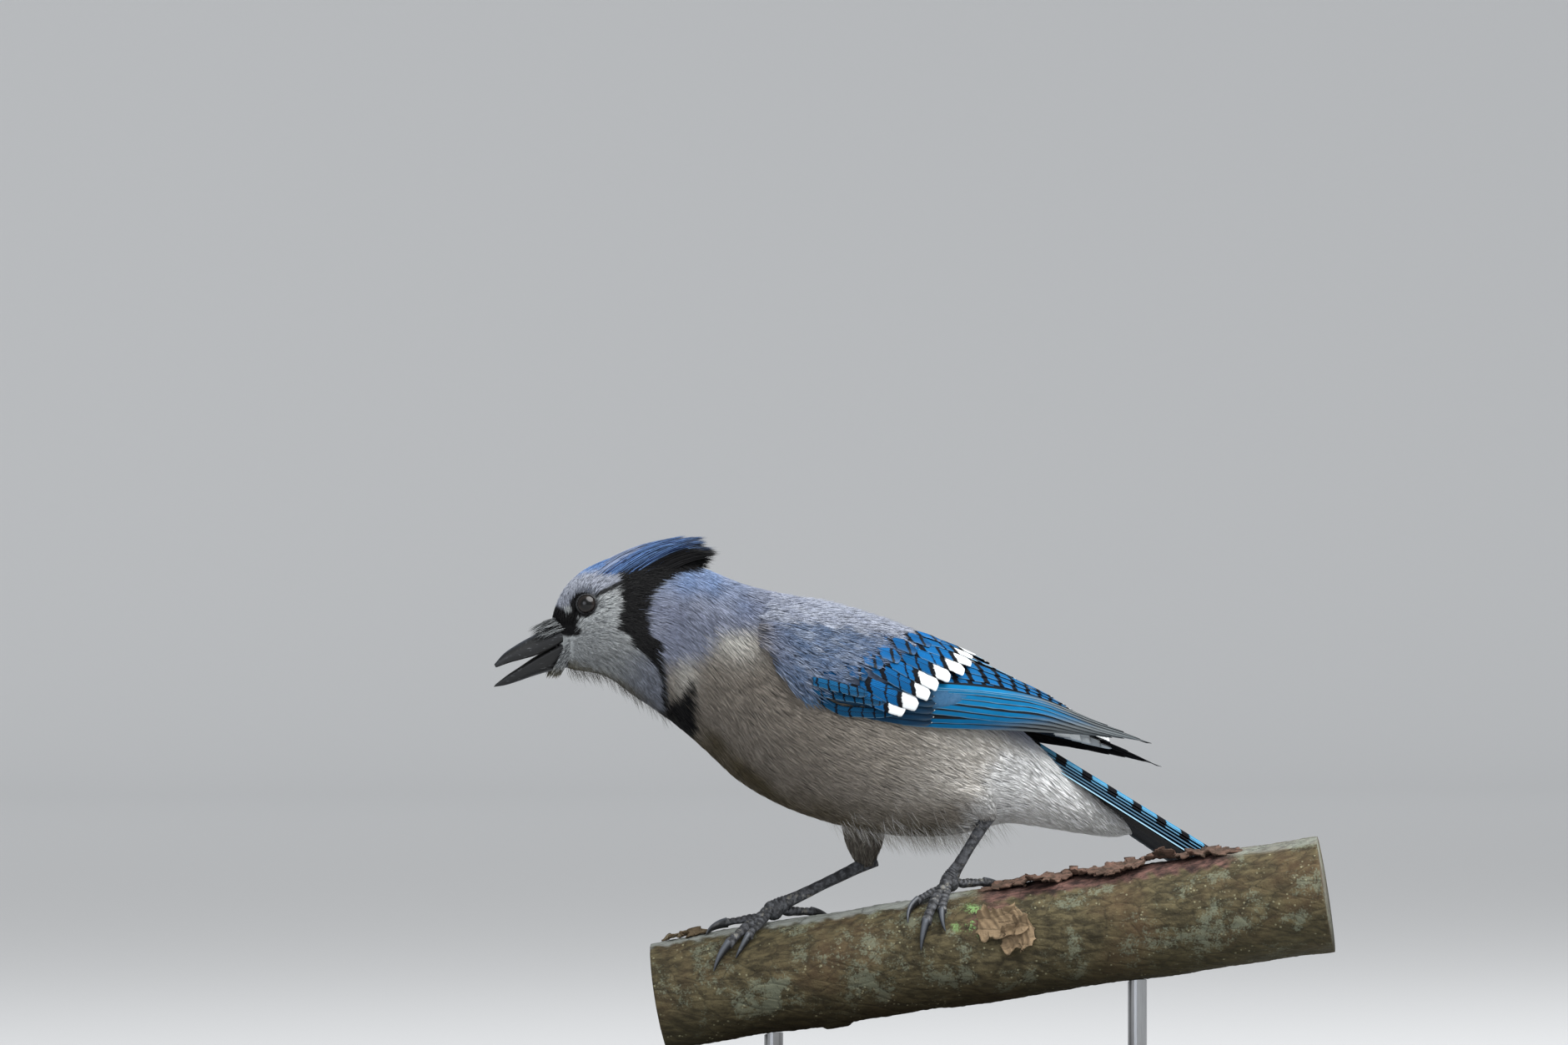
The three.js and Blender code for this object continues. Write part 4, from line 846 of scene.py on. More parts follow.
# The lie of the body's feathers: along the trunk, fanned out from the gape over the cheek,
# parted round the eye, and let down at the throat
def bodyLay(points, along):
    lay = unit(along)
    side = np.sign(points[..., 1])
    eyeX, eyeZ = birdPlace["eyeOpening"]
    gape = np.stack([np.full(side.shape, -101.5), 5.0 * side, np.full(side.shape, 160.5)], -1)
    away = points - gape
    near = np.exp(-(np.linalg.norm(away, axis=-1) / 20) ** 2) * ease(np.abs(points[..., 1]), 2, 6)
    lay = lay + 1.6 * near[..., None] * unit(away)
    eye = np.stack([side * 0 + eyeX, 11.5 * side, side * 0 + eyeZ], -1)
    away = points - eye
    near = np.exp(-(np.linalg.norm(away, axis=-1) / 5.5) ** 2)
    lay = lay + 1.2 * near[..., None] * unit(away)
    throat = ease(points[..., 2], 158, 146) * ease(points[..., 0], -62, -84)
    lay = lay + throat[..., None] * [0, 0, -0.28]
    flank = ease(points[..., 0], -40, -10) * ease(points[..., 2], 118, 100) * ease(points[..., 0], 60, 30)
    return lay + flank[..., None] * [0, 0, -0.1]


# True where the folded wing lies over the trunk
def underWing(points):
    x, y, z = points[..., 0], np.abs(points[..., 1]), points[..., 2]
    level, half = throughPairs(wingShell["middle"], x), throughPairs(wingShell["half"], x)
    angle = np.degrees(np.arctan2((z - level) / wingHigh(x), y / half))
    low = throughPairs([(-44, 22), (-38, 4), (-28, -4), (-10, -6), (20, -4), (60, 8)], x)
    high = throughPairs([(-44, 30), (-34, 54), (-20, 68), (10, 76), (36, 84), (60, 90)], x)
    return (x > -42) & (x < 62) & (angle > low) & (angle < high)


# Wing: a shell round the folded wing, with the height of the back, the widest level and the half width at x
wingShell = {
    "top": [(-45, 175.5), (-29, 172.8), (-11.5, 169.7), (5.8, 164.4), (28.9, 154.6), (51.9, 143.9),
            (75, 132.6), (90, 127.0), (98.7, 123.3)],
    "middle": [(-45, 150), (-30, 143), (0, 136.5), (30, 132), (60, 128.5), (80, 125.3), (98.7, 121.8)],
    "half": [(-45, 27.5), (-30, 31.5), (-10, 34), (10, 35), (25, 34.5), (40, 30.5), (55, 24.5), (70, 17),
             (85, 9.5), (98.7, 4.0)],
    "free": 5.0, "end": 98.7, "droop": 8.0, "reach": 0.05,
}


def wingHigh(x):
    return np.maximum(throughPairs(wingShell["top"], x) - throughPairs(wingShell["middle"], x), 0.4)


# A point on the wing: x along the bird, the angle above the widest level, and the lift off the shell.
# The right wing (side 1) hangs a little lower and reaches further than the left.
def wingPoints(side, x, angle, lift):
    x, angle, lift = np.broadcast_arrays(x, angle, lift)
    free = np.maximum(x - wingShell["free"], 0) / (wingShell["end"] - wingShell["free"])
    droop = wingShell["droop"] * free ** 1.6 if side > 0 else 0
    reach = wingShell["reach"] * free * (x - wingShell["free"]) if side > 0 else 0
    turn = np.radians(angle)
    y = np.maximum((throughPairs(wingShell["half"], x) + lift) * np.cos(turn), 0.8)
    z = throughPairs(wingShell["middle"], x) + (wingHigh(x) + lift) * np.sin(turn) - droop
    return np.stack([x + reach, side * y, z], -1)


# Places (t, a) strewn on a surface, thinned by a third random number to `perSquare` to a square millimetre
def strewn(surface, perSquare, seed):
    area = np.linalg.norm(np.cross(surface.alongStep, surface.acrossStep), axis=-1)
    wanted = area * perSquare(*ringGrid(*area.shape))
    t, a, chance = seeded(seed).random((3, int(wanted.max())))
    good = chance * wanted.max() < surface.read(wanted[..., None], t, a)[:, 0]
    return t[good], a[good]


coat = {
    "perSquare": [(0, 1.95), (3, 1.95), (5, 1.1), (8, 0.67), (12, 0.55), (14, 0.58), (16, 0.75)],
    "barbs": 5,
    "parts": [("coat_head", -1, 5.2, "head_feathers"), ("coat_mantle", 5.2, 8.2, "mantle_feathers"),
              ("coat_breast", 8.2, 12.6, "breast_feathers"), ("coat_vent", 12.6, 99, "vent_feathers")],
}


def bodyMap(t, a):
    return np.stack([a % 1, 0.04 + 0.92 * t], -1)


def bodyCoat():
    t, a = strewn(body, lambda t, a: throughPairs(coat["perSquare"], t * trunkLast), 51)
    at = body.at(t, a, t * 0)
    eyeX, eyeZ = birdPlace["eyeOpening"]
    eye = (np.hypot(at[:, 0] - eyeX, at[:, 2] - eyeZ) < 3.7) & (np.abs(at[:, 1]) > 5)
    mouth = (at[:, 0] < -103.5) & (at[:, 2] < 162.0) & (at[:, 2] > 151.5)
    keep = ~eye & ~mouth & ~underWing(at)
    t, a, at = t[keep], a[keep], at[keep]
    lay = bodyLay(at, body.read(body.alongStep, t, a))
    length = bodyPlan("length", t) * seeded(53).uniform(0.75, 1.2, len(t))
    width, depth, vary = (bodyPlan(name, t) for name in ("width", "depth", "vary"))
    made = featherStrands(body, t, a, lay, length, width, depth, coat["barbs"], 52,
                          plumage, bodyMap, vary, 0.1)
    station = np.repeat(t, coat["barbs"]) * trunkLast
    for name, low, high, slotName in coat["parts"]:
        pick = (station >= low) & (station < high)
        makeCoat(name, [value[pick] for value in made], slotName)
    return len(station)


coatMaterials = {part[3]: coatFinish(part[3]) for part in coat["parts"]}
print("body coat made of", bodyCoat(), "strands")


# Loose strands: long soft feathers with free tips, each from its root to its tip with a rise between.
# The line is a parabola through them: root + (tip - root) u + 4 u (1 - u) rise.
def looseStrands(roots, tips, rise, width, plume, mapped, rings=3, **shades):
    s = strandForms[rings]["stations"][None, :, None]
    lines = roots[:, None] + (tips - roots)[:, None] * s + 4 * s * (1 - s) * rise[:, None]
    normals = np.broadcast_to(unit(rise + 1e-6)[:, None], lines.shape)
    return strandShape(lines, normals, width, plume, np.clip(mapped, 0.002, 0.998), **shades)


# Crest: locks rooted over the crown, from the front (0) to the rear (1), that close to ragged tips
crest = {
    "count": 3600, "stations": (2.5, 5.5), "across": 0.135, "width": 0.3, "locks": 13,
    "ragged": (1.8, 0.8),
    "tips": [(0, -77.5, 189.2), (0.28, -65.5, 191.4), (0.48, -58.5, 191.4), (0.6, -54.8, 189.6),
             (0.74, -53.5, 187.2), (0.87, -55.2, 184.0), (1, -57.0, 181.6)],
    "blackFrom": (0.6, 0.68),
}


def makeCrest():
    draw = seeded(61)
    count = crest["count"]
    s, side = draw.random(count), draw.uniform(-1, 1, count)
    t, a = mix(*crest["stations"], s) / trunkLast, crest["across"] * side
    roots = body.at(t, a % 1, t * 0 - 0.7)
    tuft = np.round(s * crest["locks"] + 0.25 * np.sin(5 * side)).astype(int)
    lock = mix(s, tuft / crest["locks"], 0.75 * s)
    tipTable = np.array(crest["tips"])
    tips = through(tipTable[:, 0], tipTable[:, 1:], np.clip(lock, 0, 1))
    gather = mix(side, np.round(side * 2.5) / 2.5, 0.6)
    loose = 0.3 + 0.4 * s
    # Each lock ends a little before or behind, above or below its neighbours
    off = seeded(62).normal(0, 1, (crest["locks"] + 2, 7, 2))[tuft, np.round(side * 2.5).astype(int) + 3]
    off = off * ease(s, 0.15, 0.6)[:, None] * crest["ragged"]
    tipX = tips[:, 0] + off[:, 0] - 4.5 * gather ** 2 + draw.normal(0, 1.5, count) * loose
    tipY = 4.6 * gather * (1 - 0.25 * s) + draw.normal(0, 0.3, count)
    tipZ = tips[:, 1] + off[:, 1] - 3.0 * np.abs(gather) ** 1.7 + draw.normal(0, 0.4, count) * loose
    tips = np.stack([tipX, tipY, tipZ], -1)
    rise = np.stack([0 * s, 0.6 * side, 0.5 + 0.9 * np.abs(side) + 0.3 * draw.random(count)], -1)
    dark = ease(s + 0.16 * side ** 2 + draw.normal(0, 0.045, count), *crest["blackFrom"])
    dark = np.maximum(dark, (draw.random(count) < 0.2 + 0.3 * ease(s, 0.2, 0.5)) * 0.85)
    blue = mix(palette["crown"], palette["crownDark"], draw.random(count)[:, None] ** 1.5)
    pale = ease(s, 0.12, 0.0)[:, None] * 0.6
    plume = mix(mix(blue, palette["brow"], pale), palette["black"], dark[:, None])
    plume = plume * draw.uniform(0.65, 1.3, (count, 1))
    width = crest["width"] * draw.uniform(0.7, 1.3, count)
    made = looseStrands(roots, tips, rise, width, plume, bodyMap(t, a), rings=5, rootShade=0.9)
    makePiece("crest", made, coatMaterials["head_feathers"])


makeCrest()


# Bristles over the root of the bill, feathers over the lower mandible's root and the gape, whiskers
# under the chin and the long down between the legs
fringes = {
    "bristles": {"count": 520, "width": 0.17}, "whiskers": {"count": 420, "width": 0.12},
    "down": {"count": 1300, "width": 0.13},
    "collar": {"count": 1100, "width": 0.17,
               "path": [(-102.6, 6.9, 158.6), (-104.4, 6.3, 155.6), (-106.4, 5.4, 152.2),
                        (-108.0, 4.1, 149.2), (-108.6, 1.8, 147.4)]},
}


# Seeded ways from root to tip: back, to either side and down
def falling(draw, count, back, side, down):
    ways = [draw.uniform(*back, count), draw.normal(0, side, count), -draw.uniform(*down, count)]
    return np.stack(ways, -1)


def repeatValue(value, count):
    return np.broadcast_to(np.array(value, float), (count, 3))


def makeFringes():
    draw = seeded(67)
    made = []

    def grow(key, roots, tips, rise, plume, mapped):
        widths = fringes[key]["width"] * draw.uniform(0.7, 1.3, len(roots))
        made.append(looseStrands(roots, tips, rise, widths, plume, mapped))

    count = fringes["bristles"]["count"]
    side, back = draw.uniform(-1, 1, count), draw.random(count)
    rootZ = 165.6 - 4.4 * np.abs(side) ** 1.6 - 1.9 * back
    roots = np.stack([-104.6 - 4.4 * back, side * (6.6 - 2.0 * back), rootZ], -1)
    tips = roots + np.stack([-5.4 - 3.2 * draw.random(count), -0.8 * side + draw.normal(0, 0.3, count),
                             -2.9 + draw.normal(0, 0.4, count)], -1)
    rise = np.stack([side * 0, side * 0.2, 0.3 + 0.2 * draw.random(count)], -1)
    pale = (draw.random(count) < 0.55) * draw.uniform(0.5, 1, count)
    plume = mix(palette["black"] * 1.3, palette["cheek"], pale[:, None])
    grow("bristles", roots, tips, rise, plume, bodyMap(np.full(count, 0.02), side * 0.1))
    # The collar: short feathers whose roots lie on the cheek and whose tips cover the mandibles' roots
    count = fringes["collar"]["count"]
    side, share = np.where(draw.random(count) < 0.5, -1.0, 1.0), draw.random(count)
    path = np.array(fringes["collar"]["path"])
    roots = through(np.linspace(0, 1, len(path)), path, share)
    roots[:, 0] += draw.uniform(-0.4, 3.4, count)
    heading = np.stack([-2.2 + 1.2 * share, 0.1 + 0 * share, -1.3 - 1.2 * share], -1)
    heading = heading * draw.uniform(0.6, 1.5, (count, 1))
    roots[:, 1] *= side
    heading[:, 1] *= side
    out = np.stack([share * 0 - 0.1, side * (1 - 0.5 * share), -0.5 * share], -1) * 0.35
    grey = mix(palette["cheekDark"] * 0.8, palette["cheek"] * 0.95, draw.random(count)[:, None] ** 0.8)
    # The lower collar strands take the chin colour, the painted shade under the jaw
    plume = mix(grey, palette["chin"], (ease(share, 0.6, 1.0) * 0.8)[:, None])
    mapped = bodyMap(np.full(count, 0.03), 0.3 + 0.1 * share * side)
    grow("collar", roots, roots + heading, out, plume, mapped)
    count = fringes["whiskers"]["count"]
    t = draw.uniform(0.1, 5.4, count) / trunkLast
    a = 0.5 + draw.normal(0, 0.035, count)
    roots = body.at(t, a, t * 0 - 0.6)
    fall = falling(draw, count, (0.8, 4.0), 0.6, (2.0, 6.5))
    rise = fall * [0.05, 0, 0] - [0.4, 0, 0]
    grow("whiskers", roots, roots + fall, rise, repeatValue(linear("4a463d"), count), bodyMap(t, a))
    count = fringes["down"]["count"]
    t = np.clip(draw.normal(11.3, 0.7, count), 9.8, 12.9) / trunkLast
    a = 0.5 + draw.normal(0, 0.055, count)
    roots = body.at(t, a, t * 0 - 1.6)
    fall = falling(draw, count, (1.5, 7.5), 1.2, (3.0, 9.5))
    plume = mix(palette["bellyPale"], palette["vent"], draw.random(count)[:, None] * 0.8)
    grow("down", roots, roots + fall, fall * [0.1, 0, 0] - [0.8, 0, 0], plume, bodyMap(t, a))
    makePiece("fringes", joined(made), coatMaterials["breast_feathers"])


makeFringes()


# Feathered thighs: strands down the leg, the last of them over the heel
def makeThighCoat():
    made = []
    for seed, surface in enumerate(thighs.values()):
        t, a = strewn(surface, lambda t, a: 0.9 + 0.5 * t, 70 + seed)
        at = surface.at(t, a, t * 0)
        outside = (at[:, 2] < 112) & (t < 0.97)
        t, a = t[outside], a[outside]
        along = surface.read(surface.alongStep, t, a)
        length = mix(8.0, 4.6, t) * seeded(75 + seed).uniform(0.8, 1.2, len(t))
        mapAt = lambda t, a: np.stack([0.1 + 0.35 * seed + 0.3 * (a % 1), 0.05 + 0.9 * t], -1)
        made.append(featherStrands(surface, t, a, along, length, 0.3 + 0 * t, 1.2 + 0 * t, 5, 80 + seed,
                                   thighColour, mapAt, 0.1 + 0 * t, 0.1, spread=0.16))
    makeCoat("coat_thighs", [np.concatenate(values) for values in zip(*made)], "breast_feathers")


makeThighCoat()
print("crest, fringes and thighs made")


# Wings. Under the small coverts lies the arm, a patch of the shell from the shoulder to the wrist.
arm = {
    "x": (-44.5, 34.0), "low": [(-44.5, 15), (-38, 0), (-28, -10), (-10, -14), (20, -9), (36, 20)],
    "high": [(-44.5, 34), (-34, 62), (-20, 76), (10, 84), (36, 84)], "deep": 5.0,
    # behind this line of (angle, x) the larger coverts show
    "edge": [(-16, -25), (-8, -25), (4, -20), (13, -14), (21, -8), (29, -1), (40, 7), (49, 13), (60, 19),
             (76, 27), (90, 35)],
    "perSquare": 0.62, "span": (-18.0, 88.0), "grid": (60, 44), "surfaceGrid": (130, 120), "barbs": 6,
}


def armLift(x, angle):
    low, high = throughPairs(arm["low"], x), throughPairs(arm["high"], x)
    rim = ease(angle, low - 2, low + 16) * ease(angle, high + 6, high - 14) * ease(x, arm["x"][0], -32)
    return mix(-5.2, -1.7, rim)


def armColour(points):
    x, z = points[..., 0], points[..., 2]
    fine = ripple(points, 3.0, 21) * 0.5 + ripple(points, 9, 22) * 0.4
    line = throughPairs([(-45, 163.5), (-15, 161.3), (10, 154.8), (30, 147)], x)
    upper = mix(palette["mantle"], palette["scapular"], np.clip(0.5 + 0.25 * fine, 0, 1)[..., None])
    under = mix(palette["lesser"], palette["scapular"], np.clip(0.15 + 0.3 * fine, 0, 1)[..., None])
    low = ease(z - 0.2 * x, 146, 137)
    under = mix(under, palette["lesserLow"], (low * 0.85)[..., None])
    under = mix(under, palette["mantle"], (ease(x, -28, -42) * ease(z, 140, 152))[..., None])
    front = ease(x, -36, -43) * ease(z, 146, 152)
    under = mix(under, palette["breast"], (front * 0.8)[..., None])
    return mix(under, upper, ease(z - line + 1.5 * fine, -1.5, 1.5)[..., None])


def armSurface(side):
    rows, columns = arm["surfaceGrid"]
    x, angle = np.linspace(*arm["x"], rows)[:, None], np.linspace(*arm["span"], columns)[None]
    return Surface(wingPoints(side, x, angle, 0.0), False)


def armRoots(surface, seed):
    t, a = strewn(surface, lambda t, a: arm["perSquare"] + 0 * t, seed)
    x, angle = mix(*arm["x"], t), mix(*arm["span"], a)
    low = throughPairs([(-45, 22), (-43, 15), (-39, 0), (-31, -9), (-19.5, -16), (34, -16)], x)
    keep = (angle > low) & (x < throughPairs(arm["edge"], angle) - 5.5)
    return t[keep], a[keep]


def makeArm(side, name):
    surface = armSurface(side)
    u, v = np.meshgrid(*(np.linspace(0, 1, count) for count in arm["grid"]), indexing="ij")
    x = mix(*arm["x"], u)
    angle = mix(throughPairs(arm["low"], x), throughPairs(arm["high"], x), v)
    lift = armLift(x, angle) - 0.4
    outer = wingPoints(side, x, angle, lift)
    inner = wingPoints(side, x, angle, lift - arm["deep"] * (1 - 0.6 * u))
    # The plate under the coverts takes their colour at 0.7: painted shade beneath the strands
    base = plateShapes(outer[None], inner[None], (0, 1), plume=armColour(outer)[None] * 0.7)
    makePiece(f"arm_{name}", base, coatMaterials["mantle_feathers"])
    t, a = armRoots(surface, 91)
    x, angle = mix(*arm["x"], t), mix(*arm["span"], a)
    along, across = surface.read(surface.alongStep, t, a), surface.read(surface.acrossStep, t, a)
    lower = ease(angle, 24, -8) * ease(x, -14, -40)
    lay = unit(along) - (0.4 * lower)[:, None] * unit(across)
    length = mix(8.0, 11.0, ease(angle, 20, 70)) * seeded(93).uniform(0.8, 1.2, len(t))
    mapAt = lambda t, a: np.stack([0.03 + 0.94 * a, 0.03 + 0.94 * t], -1)
    made = featherStrands(surface, t, a, lay, length, 0.44 + 0 * t, -armLift(x, angle),
                          arm["barbs"], 95, armColour, mapAt, 0.07 + 0 * t, 0.25, spread=0.26)
    return makeCoat(f"coverts_small_{name}", made, "mantle_feathers")


# Flight feathers and coverts in tiers, each from its lowest to its uppermost feather. `paths` holds the
# lower edge of each feather as (x, angle), `point` the place across it where the tip closes. `ends` is
# white tip, black before it and the bars' period; `ways` is the width of a bar, the length of the grey
# tip and the share of the width that is coloured web; `marks` is where the bars start, how far their
# places differ between feathers and the strength of the pale rim, a painted sky reflection along the
# lower edge. `lasts` are the last feather's ends.
tiers = {
    "primaries": {
        "paths": [[(4, -15.5), (15, -15), (40, -14), (60, -18), (72, -22)],
                  [(4, -12), (15, -11), (40, -8.5), (60, -12), (77, -24)],
                  [(4, -6), (15, -4), (40, -4.5), (60, -5), (83.5, -26)],
                  [(4, -1), (15, 1), (40, 2), (60, 3), (88.5, -20)],
                  [(4, 4), (15, 6), (40, 10), (60, 14), (93.5, -12)],
                  [(4, 8), (15, 10), (40, 16.5), (60, 23), (98.6, 0)],
                  [(4, 11), (15, 13), (40, 23.5), (60, 32), (94, 26)],
                  [(4, 13), (15, 15), (40, 27), (60, 38), (88, 48)],
                  [(4, 14.5), (15, 16.5), (40, 29), (60, 44), (82.5, 60)]],
        "half": (2.4, 2.8), "point": 0.15, "lift": [(-2.6, -2.2), (-2.0, -1.1)], "taper": 0.25,
        "shoulder": 0.86, "thick": 0.32, "ends": (0, 0, 0), "ways": (0, 44, 0.4), "marks": (0, 0, 0.4),
        "tint": ("046496", "087ab0")},
    "secondaries": {
        "paths": [[(9, 13), (30, 23.5), (50, 31), (75, 58)], [(12, 20), (30, 30), (50, 39), (73, 62)],
                  [(14, 27), (30, 34), (50, 44.5), (70, 63)], [(15, 34), (30, 41), (50, 50.5), (68, 66)],
                  [(16, 41), (30, 48), (50, 58), (64, 70)]],
        "half": (3.3, 4.0), "point": 0.4, "lift": [(-2.3, -0.9), (-2.0, -0.2)], "taper": 0.15,
        "shoulder": 0.86, "thick": 0.36, "ends": (4.5, 1.6, 4.4), "lasts": (4.5, 2.6, 7.0),
        "ways": (2.0, 0, 0.6), "marks": (9, 1, 0.2), "tint": ("0c5f9c", "146fae")},
    "tertials": {
        "paths": [[(17, 48), (30, 56), (45, 66), (60, 75)], [(18, 56), (28, 63), (40, 72), (52, 80)],
                  [(19, 66), (27, 72), (35, 80), (42, 86)]],
        "half": (4.4, 4.6), "point": 0.5, "lift": [(-1.8, 0.6), (-1.5, 0.9)], "taper": 0.1,
        "shoulder": 0.8, "thick": 0.4, "ends": (4.5, 1.8, 6.0), "ways": (2.2, 0, 0.9),
        "marks": (10, 1, 0.9), "tint": ("1c6ca8", "3c88bc")},
    "coverts_primary": {
        "paths": [[(-8, -14), (4, -14.5), (14.3, -14)], [(-8, -10), (4, -10), (14.8, -9.5)],
                  [(-8, -5), (4, -5), (15, -4.5)], [(-8, 0), (4, 0), (14.6, 0.5)],
                  [(-8, 5), (4, 5), (14, 5.5)]],
        "half": (1.9, 1.9), "point": 0.5, "lift": [(-1.9, -0.5), (-1.7, -0.1)], "taper": 0.1,
        "shoulder": 0.86, "thick": 0.32, "ends": (0.5, 0, 0), "ways": (0, 0, 0.9), "marks": (0, 0, 0.08),
        "tint": ("132c42", "17364e")},
    "coverts_greater": {
        "paths": [[(-15.6, -1), (-6, -6), (4, -9)], [(-11, 6), (-2, -1), (8.6, -4)],
                  [(-6.6, 17), (3, 9), (13.2, 4)], [(-2, 24), (7, 17), (16.5, 12)],
                  [(2.6, 30), (11, 25), (21, 21)], [(7.5, 38), (17, 34), (26.5, 31)],
                  [(11, 44), (21, 44), (30.5, 44)], [(15, 53), (24, 56), (33, 57)],
                  [(18, 62), (27, 67), (35.8, 70)]],
        "half": (2.9, 4.2), "point": 0.5, "lift": [(-0.9, 0.9), (0.1, 1.3)], "taper": 0,
        "shoulder": 0.92, "thick": 0.4, "ends": (8.8, 2.0, 6.0), "ways": (1.8, 0, 1.1),
        "marks": (13.4, 0.15, 0.25), "tint": ("0a568e", "0c66a6")},
    "coverts_median": {
        "paths": [[(-28, 8), (-22, 5), (-15.5, 2)], [(-21, 16), (-15, 12), (-8.5, 9)],
                  [(-15, 24), (-8, 21), (-2, 18)], [(-9, 31), (-2, 28), (4, 25)],
                  [(-3, 41), (4, 38), (10.5, 35)], [(4, 53), (11, 50), (17, 47)],
                  [(9, 65), (16, 63), (22, 61)]],
        "half": (2.6, 4.0), "point": 0.5, "lift": [(-1.4, -1.4), (-0.2, 1.5)], "taper": 0,
        "shoulder": 0.8, "thick": 0.4, "ends": (0, 0, 5.6), "ways": (1.8, 0, 1.1),
        "marks": (3.8, 0, 0.2), "tint": ("0c548a", "1068ac")},
    "alula": {
        "paths": [[(-24, -11), (-17, -15), (-12, -14), (-2, -11), (4.5, -5)],
                  [(-27, -5), (-23, -5.5), (-16, -5), (-9, -4.5), (-1.5, -4)],
                  [(-27, 0), (-23, -0.3), (-18, -0.5), (-13, -0.8), (-8, -1)]],
        "half": (2.0, 1.9), "point": 0.6, "lift": [(-1.0, 0.8), (-1.0, 1.0)], "taper": 0.2,
        "shoulder": 0.82, "thick": 0.36, "ends": (0, 0, 3.4), "ways": (0.7, 0, 0.95),
        "marks": (2.5, 0.5, 0.45), "tint": ("124c72", "175a86")},
}
vaneGrid = (36, 11)


# Vanes on the shell: angle = lower edge + width mm / (mm a degree). The width narrows by `taper` and closes
# at the tip by sqrt(1 - past^2.2). The section falls to the upper edge, where the next feather lies on it.
def wingVanes(side, tier, seed):
    draw = seeded(seed)
    paths = np.array(tier["paths"], float)
    count = len(paths)
    f = np.linspace(0, 1, count)[:, None, None]
    pair = lambda values: mix(float(values[0]), float(values[1]), f)
    rows, columns = vaneGrid
    u = (1 - (1 - np.linspace(0, 1, rows)) ** 1.3)[None, :, None]
    v = np.linspace(0, 1, columns)[None, None]
    tipX = paths[:, -1:, :1] + draw.uniform(-0.5, 0.5, (count, 1, 1))
    x = mix(paths[:, :1, :1], tipX, u)
    low = np.stack([throughPairs(path, row) for path, row in zip(paths, x)])
    turn = np.radians(low)
    girth = np.hypot(throughPairs(wingShell["half"], x) * np.sin(turn), wingHigh(x) * np.cos(turn))
    perDegree = np.radians(np.maximum(girth, 2.5))
    past = np.clip((u - tier["shoulder"]) / (1 - tier["shoulder"]), 0, 1)
    stop = np.maximum(np.sqrt(np.clip(1 - past ** 2.2, 0, 1)), 0.05)
    width = 2 * pair(tier["half"]) * (0.8 + 0.2 * np.minimum(u * 3, 1)) * (1 - tier["taper"] * u)
    notch = draw.normal(0, 1, (count, rows, 1)) * 0.012 * np.abs(2 * v - 1) ** 6
    angle = low + width * mix(tier["point"], v + notch, stop) / perDegree
    shaft = min(tier["ways"][2], 0.5)
    off = v - shaft
    lift = mix(pair(tier["lift"][0]), pair(tier["lift"][1]), 1 - (1 - u) ** 2.2)
    lift = lift - 0.5 * v - 0.9 * off ** 2 + 0.16 * np.exp(-(off / 0.06) ** 2) * (1 - 0.7 * u)
    x = x - 4.4 * off ** 2 * (u > 0.5) * (u - 0.5)
    outer = wingPoints(side, x, angle, lift)
    inner = wingPoints(side, x, angle, lift - tier["thick"] * (1 - 0.5 * np.abs(2 * v - 1)))
    long = np.linalg.norm(outer[:, -1, columns // 2] - outer[:, 0, columns // 2], axis=-1)
    first, last = (linear(c) for c in tier["tint"])
    plume = mix(first, last, f[:, 0]) * draw.uniform(0.88, 1.1, (count, 1))
    return outer, inner, long, 2 * pair(tier["half"])[:, 0, 0], plume


# The ends of the far wing's secondaries, which show under the near wing: flat vanes from a root to a tip
farTips = {
    "root": (57, 13.0, 126.4), "half": 2.7, "thick": 0.3,
    "tips": [(86.9, 5.6, 119.4), (83.1, 5.0, 120.2), (79.4, 4.4, 121.2), (75.6, 3.8, 122.2),
             (71.9, 3.2, 123.2)],
    "ends": (7.0, 0, 0), "ways": (0, 0, 0.9), "marks": (0, 0, 0), "tint": "222226",
}


def farVanes():
    root, tips = np.array(farTips["root"]), np.array(farTips["tips"])
    rows, columns = vaneGrid
    count = len(tips)
    u = np.linspace(0, 1, rows)[None, :, None, None]
    v = np.linspace(0, 1, columns)[None, None, :, None]
    line = mix(root, tips[:, None, None], u)
    stop = np.sqrt(np.clip(1 - (np.clip(u - 0.9, 0, 1) / 0.1) ** 2.2, 0.004, 1))
    wide = 2 * farTips["half"]
    outer = line + [0, 0, 1] * (wide * mix(0.08, v, stop)) + [0, 1, 0] * (0.5 * v + 1.4 * (v - 0.5) ** 2)
    inner = outer + [0, farTips["thick"], 0]
    long = np.linalg.norm(tips - root, axis=-1)
    return outer, inner, long, np.full(count, wide), repeatValue(linear(farTips["tint"]), count)


# Feather finish. Marks are set by the distance from the tip in millimetres, barbs by fine slanting lines.
vaneLook = {
    "barbs": 9.0, "slant": 0.9, "barbShade": 0.12, "ragged": 1.6, "rim": 0.08, "shaft": 0.16,
    "ink": "121317",
}


